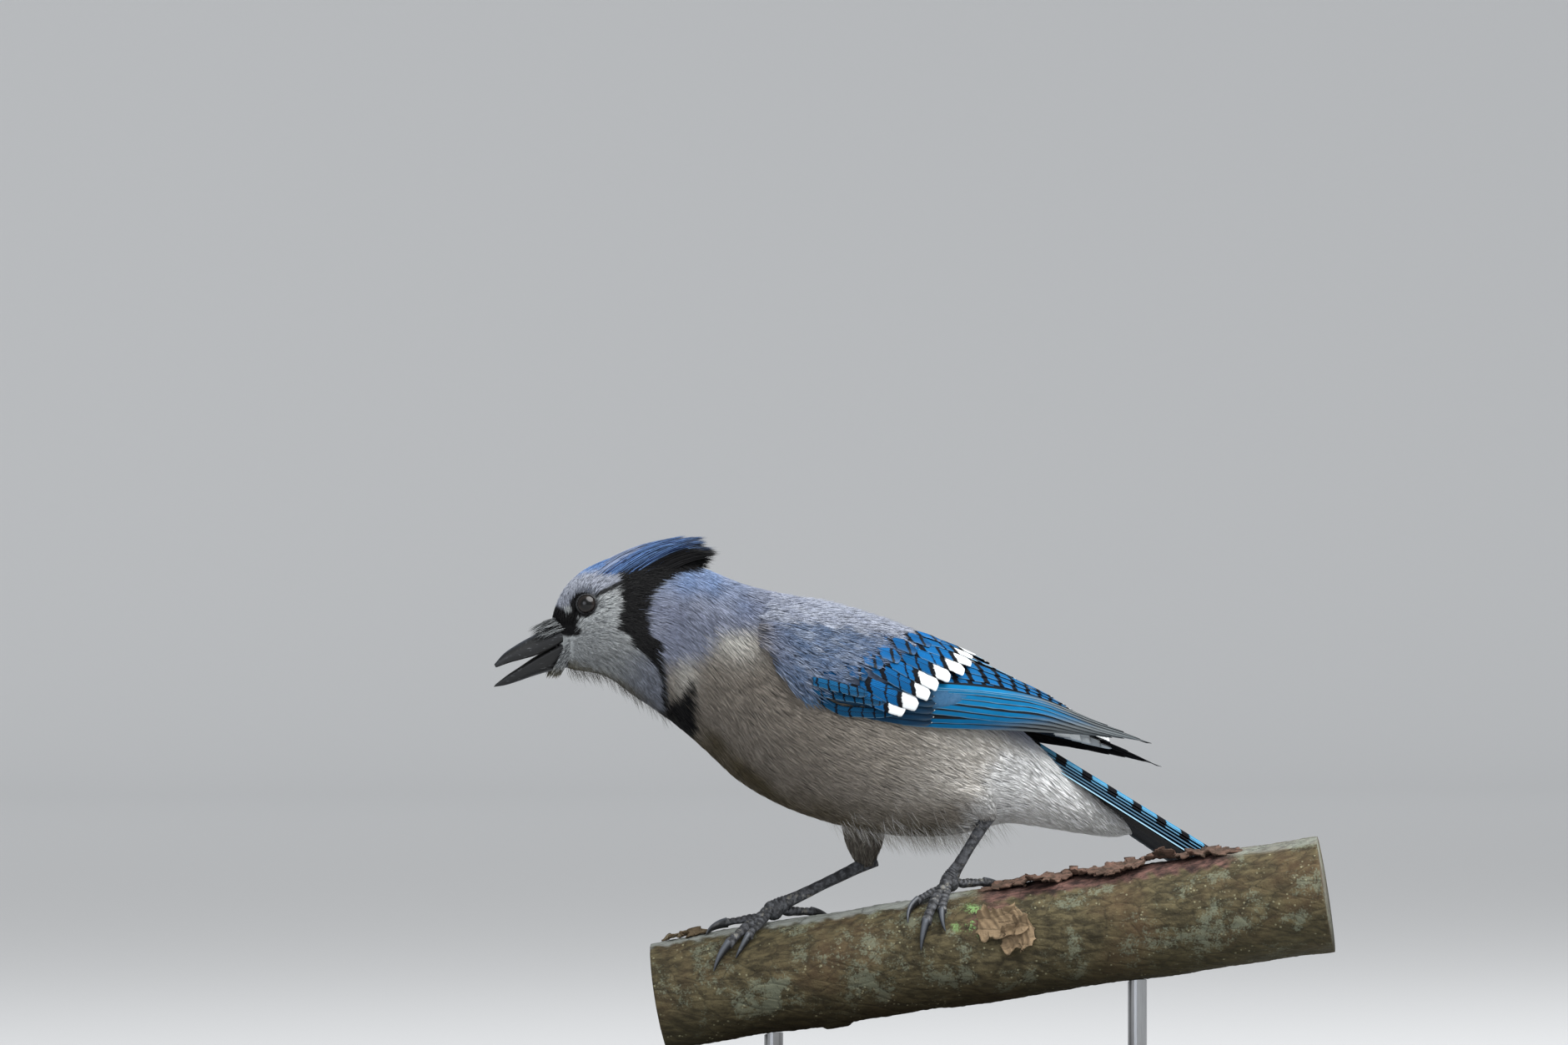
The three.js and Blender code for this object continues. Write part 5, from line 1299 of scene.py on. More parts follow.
def vaneFinish():
    finish = Finish("vanes", Roughness=0.6, Specular_IOR_Level=0.04)
    across, along = finish.uv("vane")
    (white, black, period), (bar, grey, web), (start, phase, rim), (long, wide, lot) = (
        finish.parts(finish.paint(name), "SeparateColor") for name in ("ends", "ways", "marks", "size"))
    ragged = (finish.noise(1400, 2) - 0.5) * vaneLook["ragged"]
    fromShaft = abs(across - web.atMost(0.5)) * wide
    tip = (1 - along) * long + ragged + fromShaft * 0.25
    barbs = ((along * long * vaneLook["slant"] - fromShaft) * vaneLook["barbs"]).sine()
    finish.base = finish.colour(finish.noise(260, 3) * 0.5, finish.paint("plume"), "14405f")
    # A pale rim along the lower edge: painted sky reflection
    finish.lay((vaneLook["rim"] - across).ease(0.0, 0.06) * rim, "a9d3e8")
    past = (tip - start).atLeast(0.0)
    cycle = (past / period.atLeast(0.1) + phase).share() * period
    isBar = (bar - cycle + (finish.noise(700, 1) - 0.5)).ease(-0.2, 0.25)
    finish.lay(isBar * period.ease(0.0, 0.5) * past.ease(0.2, 0.6), vaneLook["ink"])
    finish.lay((grey - tip).ease(-12.0, 14.0), finish.colour(across * 3.0, "868d90", "23272a"))
    finish.lay((across - web).ease(-0.03, 0.03), "1b1e23")
    finish.lay((white + black - tip).ease(-0.25, 0.25) * black.ease(0.0, 0.4), vaneLook["ink"])
    isWhite = (white - tip).ease(-0.25, 0.3) * white.ease(0.0, 0.5)
    finish.lay(isWhite, "eef2f3")
    finish.lay((vaneLook["shaft"] - fromShaft).ease(0.0, 0.1) * (1 - isWhite) * 0.8, "1a1c20")
    finish.lay((barbs * 0.5 + 0.5) * vaneLook["barbShade"], "0c141c")
    finish.lay(0.5, finish.colour(lot, "a8a8a8", "ffffff"), "MULTIPLY")
    finish.lay(finish.value("under") * (0.9 - isWhite * 0.9), "1c1a1a")
    return finish.done(0.46 + 0.16 * finish.noise(900, 2), barbs * 0.06 + finish.noise(500, 3) * 0.15)


vaneMaterial = vaneFinish()


def sizesOf(long, wide, seed):
    return np.stack([long, wide, seeded(seed).random(len(long))], -1)


def makeWing(side, name):
    worn = list(tiers.values()) + ([farTips] if side > 0 else [])
    total = sum(len(tier.get("paths", farTips["tips"])) for tier in worn)
    made, cell = [], 0
    for seed, tier in enumerate(worn):
        vanes = farVanes() if tier is farTips else wingVanes(side, tier, 100 + seed)
        outer, inner, long, wide, plume = vanes
        count = len(outer)
        draw = seeded(120 + seed)
        f = np.linspace(0, 1, count)[:, None]
        marks = repeatValue(tier["marks"], count).copy()
        marks[:, 1] *= draw.random(count)
        ends = mix(np.array(tier["ends"], float), np.array(tier.get("lasts", tier["ends"]), float), f)
        ends = ends * draw.uniform(0.9, 1.1, (count, 1))
        values = {"plume": plume, "ends": ends, "ways": repeatValue(tier["ways"], count), "marks": marks}
        values["size"] = sizesOf(long, wide, 130 + seed)
        made.append(plateShapes(outer, inner, (cell, total), **values))
        cell += count
    makePiece(f"wing_feathers_{name}", joined(made), vaneMaterial, [f"wing_{name}"])


for side, name in ((-1, "left"), (1, "right")):
    print("wing", name, makeArm(side, name), "strands")
    makeWing(side, name)


# Tail: twelve feathers, the middle pair on top, in a frame that drops and rolls from the rump
tail = {
    "root": (44.7, 0, 128.2), "drop": 31.2, "roll": 3.0, "length": 131.0, "pairs": 6, "thick": 0.45,
    "grid": (70, 13), "ends": (0, 0, 9.2), "ways": (3.6, 0, 0.55), "marks": (3, 0, 0.25),
    "tints": ("3a9ccc", "0d3550"), "top": 2.2, "layer": 0.74, "skirt": (0.95, 0.45), "wide": 17.2,
    "half": (3.2, 5.4), "fan": (0.6, 0.5, 1.25), "tip": 0.88, "shorter": (1.1, 0.55), "start": 4,
}


def tailPoints(reach, side, height):
    drop, roll = np.radians(tail["drop"]), np.radians(-tail["roll"])
    along = np.array([np.cos(drop), 0, -np.sin(drop)])
    level = np.array([0, 1.0, 0])
    across = level * np.cos(roll) + np.cross(along, level) * np.sin(roll)
    up = np.cross(across, along)
    up = up * np.sign(up[2])
    reach, side, height = np.broadcast_arrays(reach, side, height)
    level = np.array(tail["root"]) + reach[..., None] * along + side[..., None] * across
    return level + height[..., None] * up


# Each feather slides out from under the one nearer the middle; its web bends down from the shaft
def makeTail():
    rows, columns = tail["grid"]
    draw = seeded(141)
    outer, inner, order = [], [], []
    for i in range(tail["pairs"]):
        for side in (-1, 1):
            length = tail["length"] - tail["shorter"][0] * i - tail["shorter"][1] * i * i
            reach = mix(tail["start"], length, 1 - (1 - np.linspace(0, 1, rows)[:, None]) ** 1.2)
            v = -np.linspace(-1, 1, columns)[None] * side
            t = reach / length
            past = np.clip(t - tail["tip"], 0, 1) / (1 - tail["tip"])
            stop = np.sqrt(np.clip(1 - past ** 2.4, 0.01, 1))
            half = (tail["half"][0] + tail["half"][1] * np.minimum(t * 1.5, 1)) * stop
            half = half * (1 + 0.02 * draw.normal(0, 1, (rows, 1)) * np.abs(v) ** 6)
            first, shut, spread = tail["fan"]
            centre = side * (first + i * (shut + spread * t))
            height = tail["top"] - tail["layer"] * i - (0.3 if side > 0 else 0) - 0.16 * i * t
            height = height - 0.03 * i * np.abs(v * half + centre) - 0.25 * v ** 2
            # The outer edge of each vane turns down like a skirt
            height = height - tail["skirt"][min(i, 1)] * np.clip((v * side - 0.72) / 0.28, 0, 1) ** 1.5
            height = height + 0.2 * np.exp(-(v / 0.07) ** 2) * (1 - 0.6 * t)
            across = centre + v * half
            outer.append(tailPoints(reach, across, height))
            inner.append(tailPoints(reach, across, height - tail["thick"] * (1 - 0.4 * np.abs(v))))
            order.append((i, side, length))
    outer, inner = np.array(outer), np.array(inner)
    count = len(outer)
    i, side, length = np.array(order).T
    first, last = (linear(c) for c in tail["tints"])
    plume = mix(first, last, np.clip(i / 3, 0, 1)[:, None])
    ends = repeatValue(tail["ends"], count).copy()
    ends[:, 0] = np.where(i >= 2, 5 + 3.5 * i, 0)
    ends[:, 1] = np.where(i >= 2, 4, 1.5)
    ends[:, 2] = np.where(i < 3, ends[:, 2], 0)
    marks = repeatValue(tail["marks"], count).copy()
    # The bars of neighbouring feathers lie over each other
    marks[:, 0] += length - tail["length"]
    # The outermost pair takes the full painted rim reflection
    marks[:, 2] = np.where(i == tail["pairs"] - 1, 1, marks[:, 2])
    ways = repeatValue(tail["ways"], count).copy()
    ways[:, 2] = np.where(i == 0, 1.1, 0.55)
    made = plateShapes(outer, inner, (0, count), plume=plume, ends=ends, ways=ways,
                       marks=marks, size=sizesOf(length, np.full(count, tail["wide"]), 143))
    makePiece("tail_feathers", made, vaneMaterial, ["tail"])


makeTail()
print("wings and tail made")


# Bill: sections from the corner of the mouth to the tip, as ridge x and z, cutting edge x and z, half width
bill = {
    "upper": [(-103.0, 164.4, -100.2, 159.6, 7.4), (-107.6, 162.2, -104.6, 157.6, 6.1),
              (-112.5, 159.9, -109.4, 154.8, 4.9), (-116.9, 157.8, -114.8, 152.2, 3.9),
              (-121.2, 155.4, -119.4, 150.8, 2.9), (-125.3, 152.6, -123.7, 149.6, 1.8),
              (-128.6, 149.0, -128.0, 148.0, 0.6)],
    "lower": [(-98.4, 150.6, -99.8, 158.9, 7.2), (-102.6, 148.2, -104.3, 156.9, 5.9),
              (-108.4, 147.0, -109.3, 154.1, 4.8), (-114.9, 145.2, -114.4, 151.2, 3.8),
              (-120.0, 143.5, -119.0, 148.3, 2.9), (-124.7, 142.1, -123.6, 145.5, 1.8),
              (-128.8, 141.5, -128.0, 142.4, 0.6)],
    "steps": 110, "around": 40, "inside": 14, "hollow": 0.34,
}


# A mandible's section is a rounded ridge, cos^0.8 high and sin wide, over a hollow between its edges
def mandible(rows):
    t = np.linspace(0, len(rows) - 1.02, bill["steps"])
    ridgeX, ridgeZ, edgeX, edgeZ, half = through(np.arange(len(rows)), np.array(rows), t).T
    edge = np.stack([edgeX, 0 * t, edgeZ], -1)
    toRidge = np.stack([ridgeX - edgeX, 0 * t, ridgeZ - edgeZ], -1)
    turn = np.radians(np.linspace(-90, 90, bill["around"]))
    high, wide = np.cos(turn).clip(0) ** 0.8, np.sin(turn)
    inner = np.linspace(0.92, -0.92, bill["inside"])
    high = np.concatenate([high, bill["hollow"] * (1 - inner ** 2)])
    wide = np.concatenate([wide, inner])
    rings = edge[:, None] + toRidge[:, None] * high[:, None]
    rings[..., 1] += half[:, None] * wide
    # The band along the ridge, where the horn's painted sheen lies
    ridge = np.broadcast_to(np.exp(-(wide / 0.35) ** 2) * (high > 0.5), rings.shape[:2])
    far = np.broadcast_to((t / t[-1])[:, None], rings.shape[:2])
    return tubeShape(rings, ridge=ridge, far=far)


# Black horn, with a painted blue-grey sheen along the ridge, fine growth lines and scratches
def hornFinish(name, dark, pale):
    finish = Finish(name, Roughness=0.4, Specular_IOR_Level=0.35, Coat_Weight=0.08, Coat_Roughness=0.3)
    ridge, far = finish.value("ridge"), finish.value("far")
    cloud = finish.noise(120, 4, 0.6)
    lines = finish.noise(500, 3, 0.6, stretch=(0.18, 1, 1))
    scratch = finish.noise(1800, 2, 0.7, stretch=(0.1, 1, 1))
    # The pale along the ridge is a painted sheen, the sky's reflection, fading towards the tip
    finish.base = finish.colour((ridge * 0.85 + cloud * 0.3 - 0.15) * (1.15 - far * 0.5), dark, pale)
    finish.lay((lines - 0.5).ease(0.0, 0.25) * 0.4, "0c0d0f")
    finish.lay((scratch - 0.62).ease(0.0, 0.1) * 0.35, "6c7073")
    return finish.done(0.34 + 0.22 * cloud, lines * 0.12 + scratch * 0.05)


billMaterial = hornFinish("bill_horn", "08090a", "303844")
for name in ("upper", "lower"):
    makePiece(f"bill_{name}_horn", mandible(bill[name]), billMaterial, [f"bill_{name}"])


# Eyes: glossy balls with a dark iris round the pupil, each in a wrinkled ring of lid
eyes = {
    "radius": 3.65, "out": 1.35, "turn": 16.0, "grid": (60, 72), "iris": 2.9, "pupil": 1.9, "lid": 3.2,
    "lidThick": 0.34, "lidGrid": (120, 16), "wrinkles": 22,
}


def eyeAxis(side):
    turn = np.radians(eyes["turn"])
    return unit(np.array([-np.sin(turn), side * np.cos(turn), 0.05]))


def eyeCentre(side):
    return birdPlace["eye"] * [1, side, 1] + eyes["out"] * eyeAxis(side)


# Points about the eye's axis: a turn round it, an angle off it and a distance from the ball's centre
def eyePoints(side, turn, angle, distance):
    axis = eyeAxis(side)
    first = unit(np.cross(axis, upright))
    out = np.cos(turn)[..., None] * first + np.sin(turn)[..., None] * np.cross(axis, first)
    ahead, aside = np.cos(angle) * distance, np.sin(angle) * distance
    return eyeCentre(side) + ahead[..., None] * axis + aside[..., None] * out


def eyeFinish():
    finish = Finish("eye_gloss", Roughness=0.2, Specular_IOR_Level=0.35)
    off = finish.value("off")
    iris = finish.colour(finish.noise(900, 3, 0.6), "100c0a", "1c1512")
    finish.base = finish.colour((off - eyes["pupil"]).ease(-0.12, 0.12), "040404", iris)
    finish.lay((off - eyes["iris"]).ease(-0.2, 0.3), "0d0a09")
    return finish.done()


def lidFinish():
    finish = Finish("eye_lid", Roughness=0.55, Specular_IOR_Level=0.4)
    grain = finish.noise(1600, 3, 0.6)
    finish.base = finish.colour(grain, "0b0b0c", "1e1f21")
    return finish.done(0.45 + 0.2 * grain, grain * 0.15)


def makeEyes():
    gloss, skin = eyeFinish(), lidFinish()
    ball, lid = eyes["grid"], eyes["lidGrid"]
    for side, name in ((-1, "left"), (1, "right")):
        angle = np.linspace(0.02, np.pi - 0.02, ball[0])[:, None]
        rings = eyePoints(side, turns(ball[1]), angle, np.full_like(angle, eyes["radius"]))
        off = np.broadcast_to(eyes["radius"] * np.sin(angle) + (angle > np.pi / 2) * 9, rings.shape[:2])
        makePiece(f"eyeball_{name}", tubeShape(rings, off=off), gloss, [f"eye_{name}"])
        # The lid is a small circle carried round the opening, with fine wrinkles and a pinched corner
        turn, small = turns(lid[0])[:, None], turns(lid[1])
        thick = eyes["lidThick"] * (1 + 0.14 * np.sin(eyes["wrinkles"] * turn) + 0.25 * np.cos(turn) ** 8)
        angle = np.arcsin(eyes["lid"] / eyes["radius"]) + thick * np.cos(small) / eyes["radius"]
        distance = eyes["radius"] + 0.1 + thick * np.sin(small) * 0.75
        makePiece(f"lid_{name}", ringShape(eyePoints(side, turn, angle, distance)), skin)


# A closed band: a section carried once round, joined to its own start
def ringShape(rings):
    count, sides = rings.shape[:2]
    i, j = (g.ravel() for g in np.meshgrid(np.arange(count), np.arange(sides), indexing="ij"))
    index = lambda i, j: (i % count) * sides + j % sides
    a, b, c, d = index(i, j), index(i, j + 1), index(i + 1, j + 1), index(i + 1, j)
    faces = np.concatenate([np.stack([a, b, c], -1), np.stack([a, c, d], -1)])
    corner = lambda u, v: np.stack([u / count, v / sides], -1)
    uvs = np.concatenate([np.stack([corner(i, j), corner(i, j + 1), corner(i + 1, j + 1)], 1),
                          np.stack([corner(i, j), corner(i + 1, j + 1), corner(i + 1, j)], 1)])
    points = rings.reshape(-1, 3)
    turned = facingOut(points - points.mean(0), faces)
    return shape(points, turned, {"along": uvs if turned is faces else uvs[:, ::-1]})


makeEyes()
print("bill and eyes made")


# Perch: a branch in its own frame, a along it and the angle round it from the crest to the near side
perch = {
    "radius": 19.2, "taper": 0.006, "yaw": -19.0, "rise": 8.85, "height": 48.0, "ends": (-71.0, 156.0),
    "grid": (340, 160), "knots": [(43, 122, 7.5, 3.4), (-13, 176, 4.5, 2.2)], "feet": (-28.6, 31.6),
}


def perchPoints(a, angle, radius):
    yaw, rise = np.radians(perch["yaw"]), np.radians(perch["rise"])
    along = np.array([np.cos(rise) * np.cos(yaw), np.cos(rise) * np.sin(yaw), np.sin(rise)])
    up = unit(upright - along * along[2])
    near = -np.cross(along, up)
    near = near * -np.sign(near[1])
    a, angle, radius = np.broadcast_arrays(a, angle, radius)
    turn = np.radians(angle)
    out = np.cos(turn)[..., None] * up + np.sin(turn)[..., None] * near
    return np.array([0, 0, perch["height"]]) + a[..., None] * along + radius[..., None] * out


def perchRadius(a):
    return perch["radius"] + perch["taper"] * a


# One point over the branch at (a, angle), at the sum of the heights above its mean radius
def overPerch(a, angle, *heights):
    return perchPoints(*np.array([[a], [angle], [sum(heights, perchRadius(a))]]))[0]


# Bark height: low ripples round and along, small pits and scales from noise, and the knots' bumps
def barkHeight(a, angle):
    w = np.radians(angle)
    waves = np.sin(3 * w + 0.11 * a) + 0.7 * np.sin(5 * w - 0.07 * a + 1) + 0.5 * np.sin(0.21 * a)
    under = sum(np.exp(-((a - foot) / 24) ** 2) for foot in perch["feet"])
    height = 0.25 * (waves - 2.2) * (1 - np.minimum(under, 1) * np.cos(w / 2) ** 2)
    for place, turn, wide, high in perch["knots"]:
        off = (angle - turn + 180) % 360 - 180
        far = np.hypot(a - place, np.radians(off) * perch["radius"]) / wide
        height = height + high * np.exp(-far ** 2) * (1 - 0.55 * np.exp(-(far / 0.42) ** 2))
        height = height + 0.25 * np.sin(9 * far) * np.exp(-((far - 1) / 0.6) ** 2)
    spot = np.stack([a * 0.5, perch["radius"] * np.cos(w), perch["radius"] * np.sin(w)], -1)
    fine = 0.10 * ripple(spot, 4.5, 201, 9) + 0.07 * ripple(spot * [2, 1, 1], 2.2, 202, 9)
    fine += 0.16 * ease(ripple(spot, 3.4, 203, 9), 1.1, 1.6)
    return height + fine - 0.18


def barkFinish():
    finish = Finish("bark", Roughness=0.9, Specular_IOR_Level=0.25)
    top, green = finish.value("top"), finish.value("green")
    broad = finish.noise(28, 4, 0.6)
    grain = finish.noise(420, 5, 0.65, stretch=(0.35, 1, 1))
    fine = finish.noise(1500, 3, 0.6)
    lichen = finish.noise(75, 5, 0.7) + (fine - 0.5) * 0.35
    dots = finish.cells(560)
    cracks = finish.cells(210, "DISTANCE_TO_EDGE", stretch=(0.3, 1, 1))
    finish.base = finish.colour(grain.ease(0.35, 0.7), "2f2a1c", "585039")
    finish.lay((broad - 0.46).ease(0.0, 0.22) * 0.4, "5a4430")
    # The branch's underside is painted darker: painted shade
    finish.lay((1 - top).ease(0.35, 1.0) * 0.75, "2a2714")
    finish.lay((lichen - 0.53).ease(0.0, 0.1) * 0.62 * top.ease(0.0, 0.5), "6c7160")
    finish.lay((0.27 - dots).ease(0.0, 0.1) * finish.noise(160, 2).ease(0.5, 0.65) * 0.6, "8f8c70")
    # A pale grey band along the crest: painted highlight
    finish.lay(finish.value("crest") * (grain + 0.2).ease(0.3, 0.75) * 0.8, "8f9490")
    finish.lay(finish.value("bare"), finish.colour(grain.ease(0.3, 0.75), "1d1413", "6d5048"))
    finish.lay(finish.value("tan") * (grain + 0.25).ease(0.3, 0.7), "7f6c54")
    finish.lay(green * (lichen - 0.47).ease(0.0, 0.1), "6f8f58")
    finish.lay((0.05 - cracks).ease(0.0, 0.05) * 0.4, "1d1a12")
    height = grain * 0.35 + fine * 0.14 + cracks.ease(0.0, 0.12) * 0.12
    return finish.done(0.85 + 0.1 * grain, height + (0.27 - dots).ease(0.0, 0.12) * 0.12)


# Where the bark is peeled or green with lichen, how far it faces up, for the painted shade underneath, and
# the pale band along its crest, a painted highlight, at (a, angle)
def barkPlaces(a, angle):
    w = (angle + 180) % 360 - 180
    rough = 0.5 * ripple(np.stack([a, w * 0.33, 0 * a], -1), 7, 210)
    # How far the bark faces up, 1 on top: it keeps lichen up and sets the painted shade below
    top = np.cos(np.radians(w - 20)) * 0.5 + 0.5
    bare = ease(-np.abs(w - 14) + 26 + 6 * rough, -4, 4) * ease(a, 38, 46) * ease(a, 132, 122)
    patch = ease(-np.hypot(a - 46, (w - 62) * 0.33 * 1.4) + 8.5 + 2 * rough, -1.5, 1.5)
    bare = np.maximum(bare, 0.8 * patch)
    crestHighlight = ease(-np.abs(w - 12) + 13 + 5 * rough, -4, 4) * ease(a, 40, 30) * 0.9
    crestHighlight = crestHighlight + ease(a, 118, 130) * ease(-np.abs(w - 12) + 14, -5, 5) * 0.5
    green = ease(-np.hypot(a - 39, (w - 60) * 0.33) + 5.5 + 2 * rough, -2, 2)
    return {"top": top, "bare": bare, "crest": np.clip(crestHighlight, 0, 1), "green": green, "tan": 0 * top}


def makePerch():
    rows, columns = perch["grid"]
    a = np.linspace(*perch["ends"], rows)[:, None] + np.zeros((1, columns))
    angle = np.arange(columns)[None] * 360 / columns + np.zeros((rows, 1))
    rings = perchPoints(a, angle, perchRadius(a) + barkHeight(a, angle))
    makePiece("perch_bark", tubeShape(rings, **barkPlaces(a, angle)), barkMaterial, ["perch"])


# Loose bark: one torn strip along the crest, and flaps round the knot and at the near end. A strip is a
# plate whose half width and rise wander along it; its edges curl up by the square of the way across.
flakes = {
    "strip": (41, 130, 10.0, 19.0, 1.8), "grid": (230, 20), "cells": 9,
    "rolls": [(62, 2.2, 4.0), (101, 3.4, 5.0), (112, 2.0, 4.0)],
    "flaps": [(48, 68, 8.0, 15, 2.4), (53, 86, 5.5, 15, 2.6), (-61, 4, 5.0, 9, 1.1),
              (-55, 9, 4.0, 9, 0.8)],
    # how bare and how tan the flaps and then the strip are
    "looks": [(0.15, 0.85), (0.15, 0.85), (0.15, 0.3), (0.15, 0.3), (0.9, 0.12)],
}


def barkStrip(start, end, middle, wide, curl, rows, seed):
    columns = flakes["grid"][1]
    a = np.linspace(start, end, rows)[:, None]
    v = np.linspace(-1, 1, columns)[None]
    near = ease(a, start, start + 0.12 * (end - start)) * ease(a, end, end - 0.12 * (end - start))
    flat = np.stack([a + 0 * v, 9 * np.sign(v) + 0 * a, 0 * (a + v)], -1)
    along = lambda size, k: ripple(flat, size, seed + k)
    uneven = 1 + 0.26 * along(21, 1) + 0.14 * along(5.5, 2) + 0.1 * along(1.7, 3) + 0.05 * along(0.7, 9)
    edge = wide * (0.35 + 0.65 * near) * uneven
    angle = middle + 2.5 * along(20, 4) + edge * v
    rise = 0.35 + 0.5 * (0.8 + along(8, 5)) * v ** 2
    rise = rise + curl * (0.6 + 0.5 * along(6, 6)).clip(0, 2) * np.abs(v) ** 4
    for place, high, long in flakes["rolls"]:
        rise = rise + high * np.exp(-((a - place) / long) ** 2) * (0.3 + 0.7 * (v > -0.2) * v ** 2)
    place = a + 1.2 * along(3, 7) * np.abs(v) ** 3
    grain = ripple(np.stack([a + 0 * v, angle * 0.33, 0 * angle], -1), 2.6, seed + 8)
    rise = rise * near + 0.25 * grain - 0.25 * (1 - near)
    radius = perchRadius(place)
    outer, inner = perchPoints(place, angle, radius + rise), perchPoints(place, angle, radius + rise - 0.55)
    return outer[None], inner[None]


def makeFlakes():
    strips = [barkStrip(a - long, a + long, turn, wide, curl, 40, 240 + 10 * k)
              for k, (a, turn, long, wide, curl) in enumerate(flakes["flaps"])]
    strips.append(barkStrip(*flakes["strip"], flakes["grid"][0], 221))
    made = []
    for k, ((outer, inner), (bare, tan)) in enumerate(zip(strips, flakes["looks"])):
        shade = np.ones(outer.shape[:3])
        cell = ((k + 1) % len(strips), flakes["cells"])
        bark = {"top": 1, "bare": bare, "crest": 0, "green": 0, "tan": tan}
        made.append(plateShapes(outer, inner, cell, **{key: shade * value for key, value in bark.items()}))
    makePiece("bark_flakes", joined(made), barkMaterial)


barkMaterial = barkFinish()
makePerch()
makeFlakes()
print("perch made")


# Legs: the shank runs from heel to palm, the toes lie over the crest, each ringed by scutes
foot = {
    "gap": 0.35, "palm": 2.9, "ball": 2.95, "scutes": 9, "shankScutes": 8, "lowScutes": 30,
    "toeGrid": (110, 28), "clawGrid": (48, 22), "shankGrid": (170, 36), "palmGrid": (40, 48),
}


def legFinish():
    finish = Finish("leg_scales", Roughness=0.6, Specular_IOR_Level=0.4)
    groove, grain = finish.value("groove"), finish.noise(700, 4, 0.65)
    fine = finish.noise(2200, 3, 0.6)
    finish.base = finish.colour(grain.ease(0.35, 0.7), "1f2023", "55575b")
    finish.lay((finish.noise(330, 4, 0.7) - 0.57).ease(0.0, 0.08) * 0.5, "8d8a80")
    finish.lay(groove * 0.75, "0f0f10")
    return finish.done(0.5 + 0.25 * grain, grain * 0.22 + fine * 0.08 - groove * 0.12)


# A tube along points, its section a circle with given radii; `ups` gives the section's upward side
def tubeAlong(points, radius, ups, sides, high=1.0):
    ahead = unit(np.gradient(points, axis=0))
    across = unit(np.cross(ahead, ups))
    up = np.cross(across, ahead)
    turn = turns(sides, 0.5)
    out = np.cos(turn)[None, :, None] * across[:, None] + high * np.sin(turn)[None, :, None] * up[:, None]
    return points[:, None] + out * radius[..., None]


def toePlace(leg, toe, u):
    end, _, size = toe
    a = leg["a"] + end[0] * u
    angle = mix(leg["angle"], end[1], u)
    settle = foot["palm"] * np.maximum(1 - 2.6 * u, 0) ** 1.5
    height = perchRadius(a) + size * (1.02 - 0.12 * u) + foot["gap"] + settle
    return a, angle, height


# Scutes: each ring swells from its groove and ends in a step, strongest on the upper side
def scuteWave(u, count, turn):
    phase = (u * count) % 1
    swell = np.sin(np.pi * np.clip(phase / 0.86, 0, 1)) ** 0.55 * (phase < 0.86)
    upper = ease(np.sin(turn), -0.35, 0.35)
    pads = 0.5 + 0.5 * np.cos(2 * np.pi * u * 3)
    wave = swell[:, None] * upper[None] + pads[:, None] * (1 - upper[None])
    return wave, (1 - swell)[:, None] * upper[None]


def toeShape(leg, toe):
    rings, sides = foot["toeGrid"]
    u, turn = np.linspace(0, 1, rings), turns(sides, 0.5)
    a, angle, height = toePlace(leg, toe, u)
    points = perchPoints(a, angle, height)
    ups = unit(points - perchPoints(a, angle, 0 * height))
    wave, groove = scuteWave(u, foot["scutes"], turn)
    joint = 1 + 0.10 * np.cos(2 * np.pi * 2 * u) * (1 - u * 0.3)
    radius = toe[2] * (0.86 + 0.15 * wave) * (1 - 0.14 * u)[:, None] * joint[:, None]
    radius = radius * (1 - 0.16 * ease(-np.sin(turn), 0.2, 0.9))[None]
    return tubeShape(tubeAlong(points, radius, ups, sides, 0.94), groove=groove)


def clawShape(leg, toe):
    _, clawEnd, size = toe
    steps, sides = foot["clawGrid"]
    one = np.ones(1)
    end, before = toePlace(leg, toe, one), toePlace(leg, toe, one * 0.93)
    tip, near = perchPoints(*end)[0], perchPoints(*before)[0]
    heading = unit(tip - near)
    start = tip - heading * 0.9
    a = leg["a"] + clawEnd[0]
    last = overPerch(a, clawEnd[1], foot["gap"], 0.3)
    bow = start + heading * np.linalg.norm(last - start) * 0.55
    u, turn = np.linspace(0, 1, steps)[:, None], turns(sides, 0.5)
    points = (1 - u) ** 2 * start + 2 * u * (1 - u) * bow + u ** 2 * last
    up = unit(tip - perchPoints(end[0], end[1], np.zeros(1))[0])
    section = 1 + 0.10 * ease(np.sin(turn), 0.6, 1.0) - 0.14 * np.abs(np.cos(turn))
    radius = (size * 0.84 * (1 - u) ** 0.62 + 0.06) * section
    rings = tubeAlong(points, radius, np.broadcast_to(up, points.shape), sides, 1.12)
    # The claw's upper side takes the horn's painted sheen
    ridge = np.broadcast_to(ease(np.sin(turn), 0.55, 1.0)[None], rings.shape[:2])
    return tubeShape(rings, ridge=ridge, far=np.broadcast_to(u * 0.6, rings.shape[:2]))


def shankShape(leg):
    rings, sides = foot["shankGrid"]
    u, turn = np.linspace(-0.02, 1, rings), turns(sides, 0.5)
    points = mix(np.array(leg["heel"]), overPerch(leg["a"], leg["angle"], foot["palm"], 1.2), u[:, None])
    ups = np.broadcast_to([-1.0, 0, 0.25], points.shape)
    wave, groove = scuteWave(np.clip(u, 0, 1), foot["shankScutes"], turn)
    # Near the foot the scutes are small and close
    low = ease(u, 0.74, 0.9)
    closeWave, closeGroove = scuteWave(np.clip(u, 0, 1), foot["lowScutes"], turn)
    wave, groove = mix(wave, closeWave, low[:, None]), mix(groove, closeGroove, low[:, None])
    size = 1.7 + 0.62 * (2 * u - 1) ** 2 + 0.25 * np.exp(-((u - 0.93) / 0.07) ** 2)
    keel = 1 - 0.12 * np.cos(turn) ** 2
    radius = size[:, None] * (0.95 + 0.07 * wave * (0.6 + 0.9 * low[:, None])) * keel[None]
    return tubeShape(tubeAlong(points, radius, ups, sides, 1.12), groove=groove * 0.8)


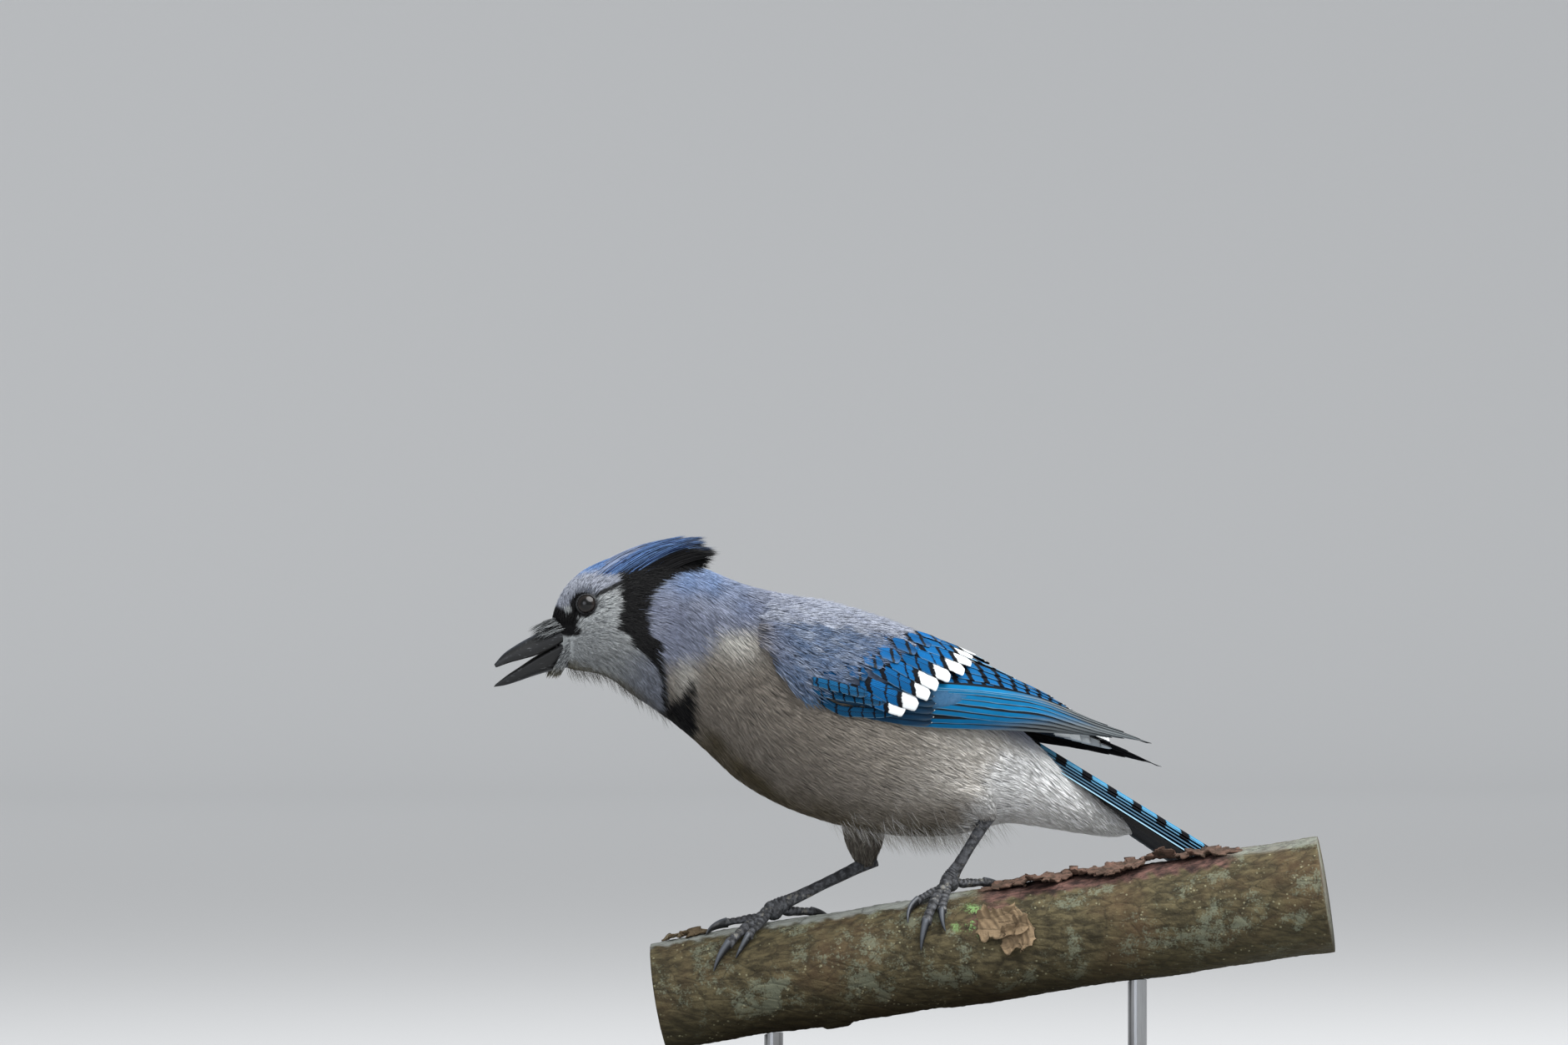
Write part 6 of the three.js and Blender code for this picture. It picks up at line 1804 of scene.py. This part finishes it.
# The palm is a low ball with warty pads: the radius waves with latitude and longitude
def palmShape(leg):
    palm = overPerch(leg["a"], leg["angle"], foot["palm"], 0.3)
    rows, columns = foot["palmGrid"]
    north, around = np.linspace(0.06, np.pi - 0.06, rows)[:, None], turns(columns)[None]
    warts = np.sin(11 * around) * np.sin(9 * north)
    radius = foot["ball"] * (1 + 0.035 * warts)
    out = np.stack([np.sin(north) * np.cos(around) * 1.12, np.sin(north) * np.sin(around),
                    np.cos(north) * np.ones_like(around)], -1)
    return tubeShape(palm + out * radius[..., None], groove=0.25 + 0.25 * warts)


legMaterial, clawMaterial = legFinish(), hornFinish("claw_horn", "121315", "4c5056")
for name, leg in legs.items():
    makePiece(f"shank_{name}", shankShape(leg), legMaterial, [f"tarsus_{name}"])
    grown = joined([palmShape(leg)] + [toeShape(leg, toe) for toe in leg["toes"]])
    makePiece(f"toes_{name}", grown, legMaterial, [f"foot_{name}"])
    for k, toe in enumerate(leg["toes"]):
        claw = f"{name}_{k + 1}"
        makePiece(f"hook_{claw}", clawShape(leg, toe), clawMaterial, [f"claw_{claw}"])
print("legs made")


# Stand: its solids stay as they are and take a finish of dark oiled wood and brushed steel
def woodFinish():
    finish = Finish("stand_wood", Roughness=0.42, Specular_IOR_Level=0.45, Coat_Weight=0.25,
                    Coat_Roughness=0.25)
    warp = finish.noise(9, 3, 0.5, stretch=(0.25, 1, 1))
    rings = ((warp * 26.0 + finish.noise(60, 2, 0.5, stretch=(0.06, 1, 1)) * 2.2) * 6.28).sine() * 0.5 + 0.5
    pores = finish.noise(1400, 2, 0.6, stretch=(0.05, 1, 1))
    finish.base = finish.colour(rings, "2a1b12", "4a3222")
    finish.lay((pores - 0.58).ease(0.0, 0.08) * 0.6, "150d08")
    return finish.done(0.36 + 0.14 * rings, pores * 0.06)


def steelFinish():
    finish = Finish("stand_steel", Metallic=1.0, Roughness=0.3)
    brushed = finish.noise(2600, 2, 0.6, stretch=(1, 1, 0.03))
    finish.base = finish.colour(brushed, "86888a", "b4b5b6")
    return finish.done(0.24 + 0.16 * brushed, brushed * 0.02)


woodMaterial, steelMaterial = woodFinish(), steelFinish()
standLooks = {"stand_base": woodMaterial, "stand_rod_1": steelMaterial, "stand_rod_2": steelMaterial}
for name, material in standLooks.items():
    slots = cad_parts[name].data.materials
    slots.clear()
    slots.append(material)
print("stand finished")

bpy.context.scene.view_settings.view_transform = "Standard"
sizes = {"cad": cadBox, "visual": [list(corner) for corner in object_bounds()]}
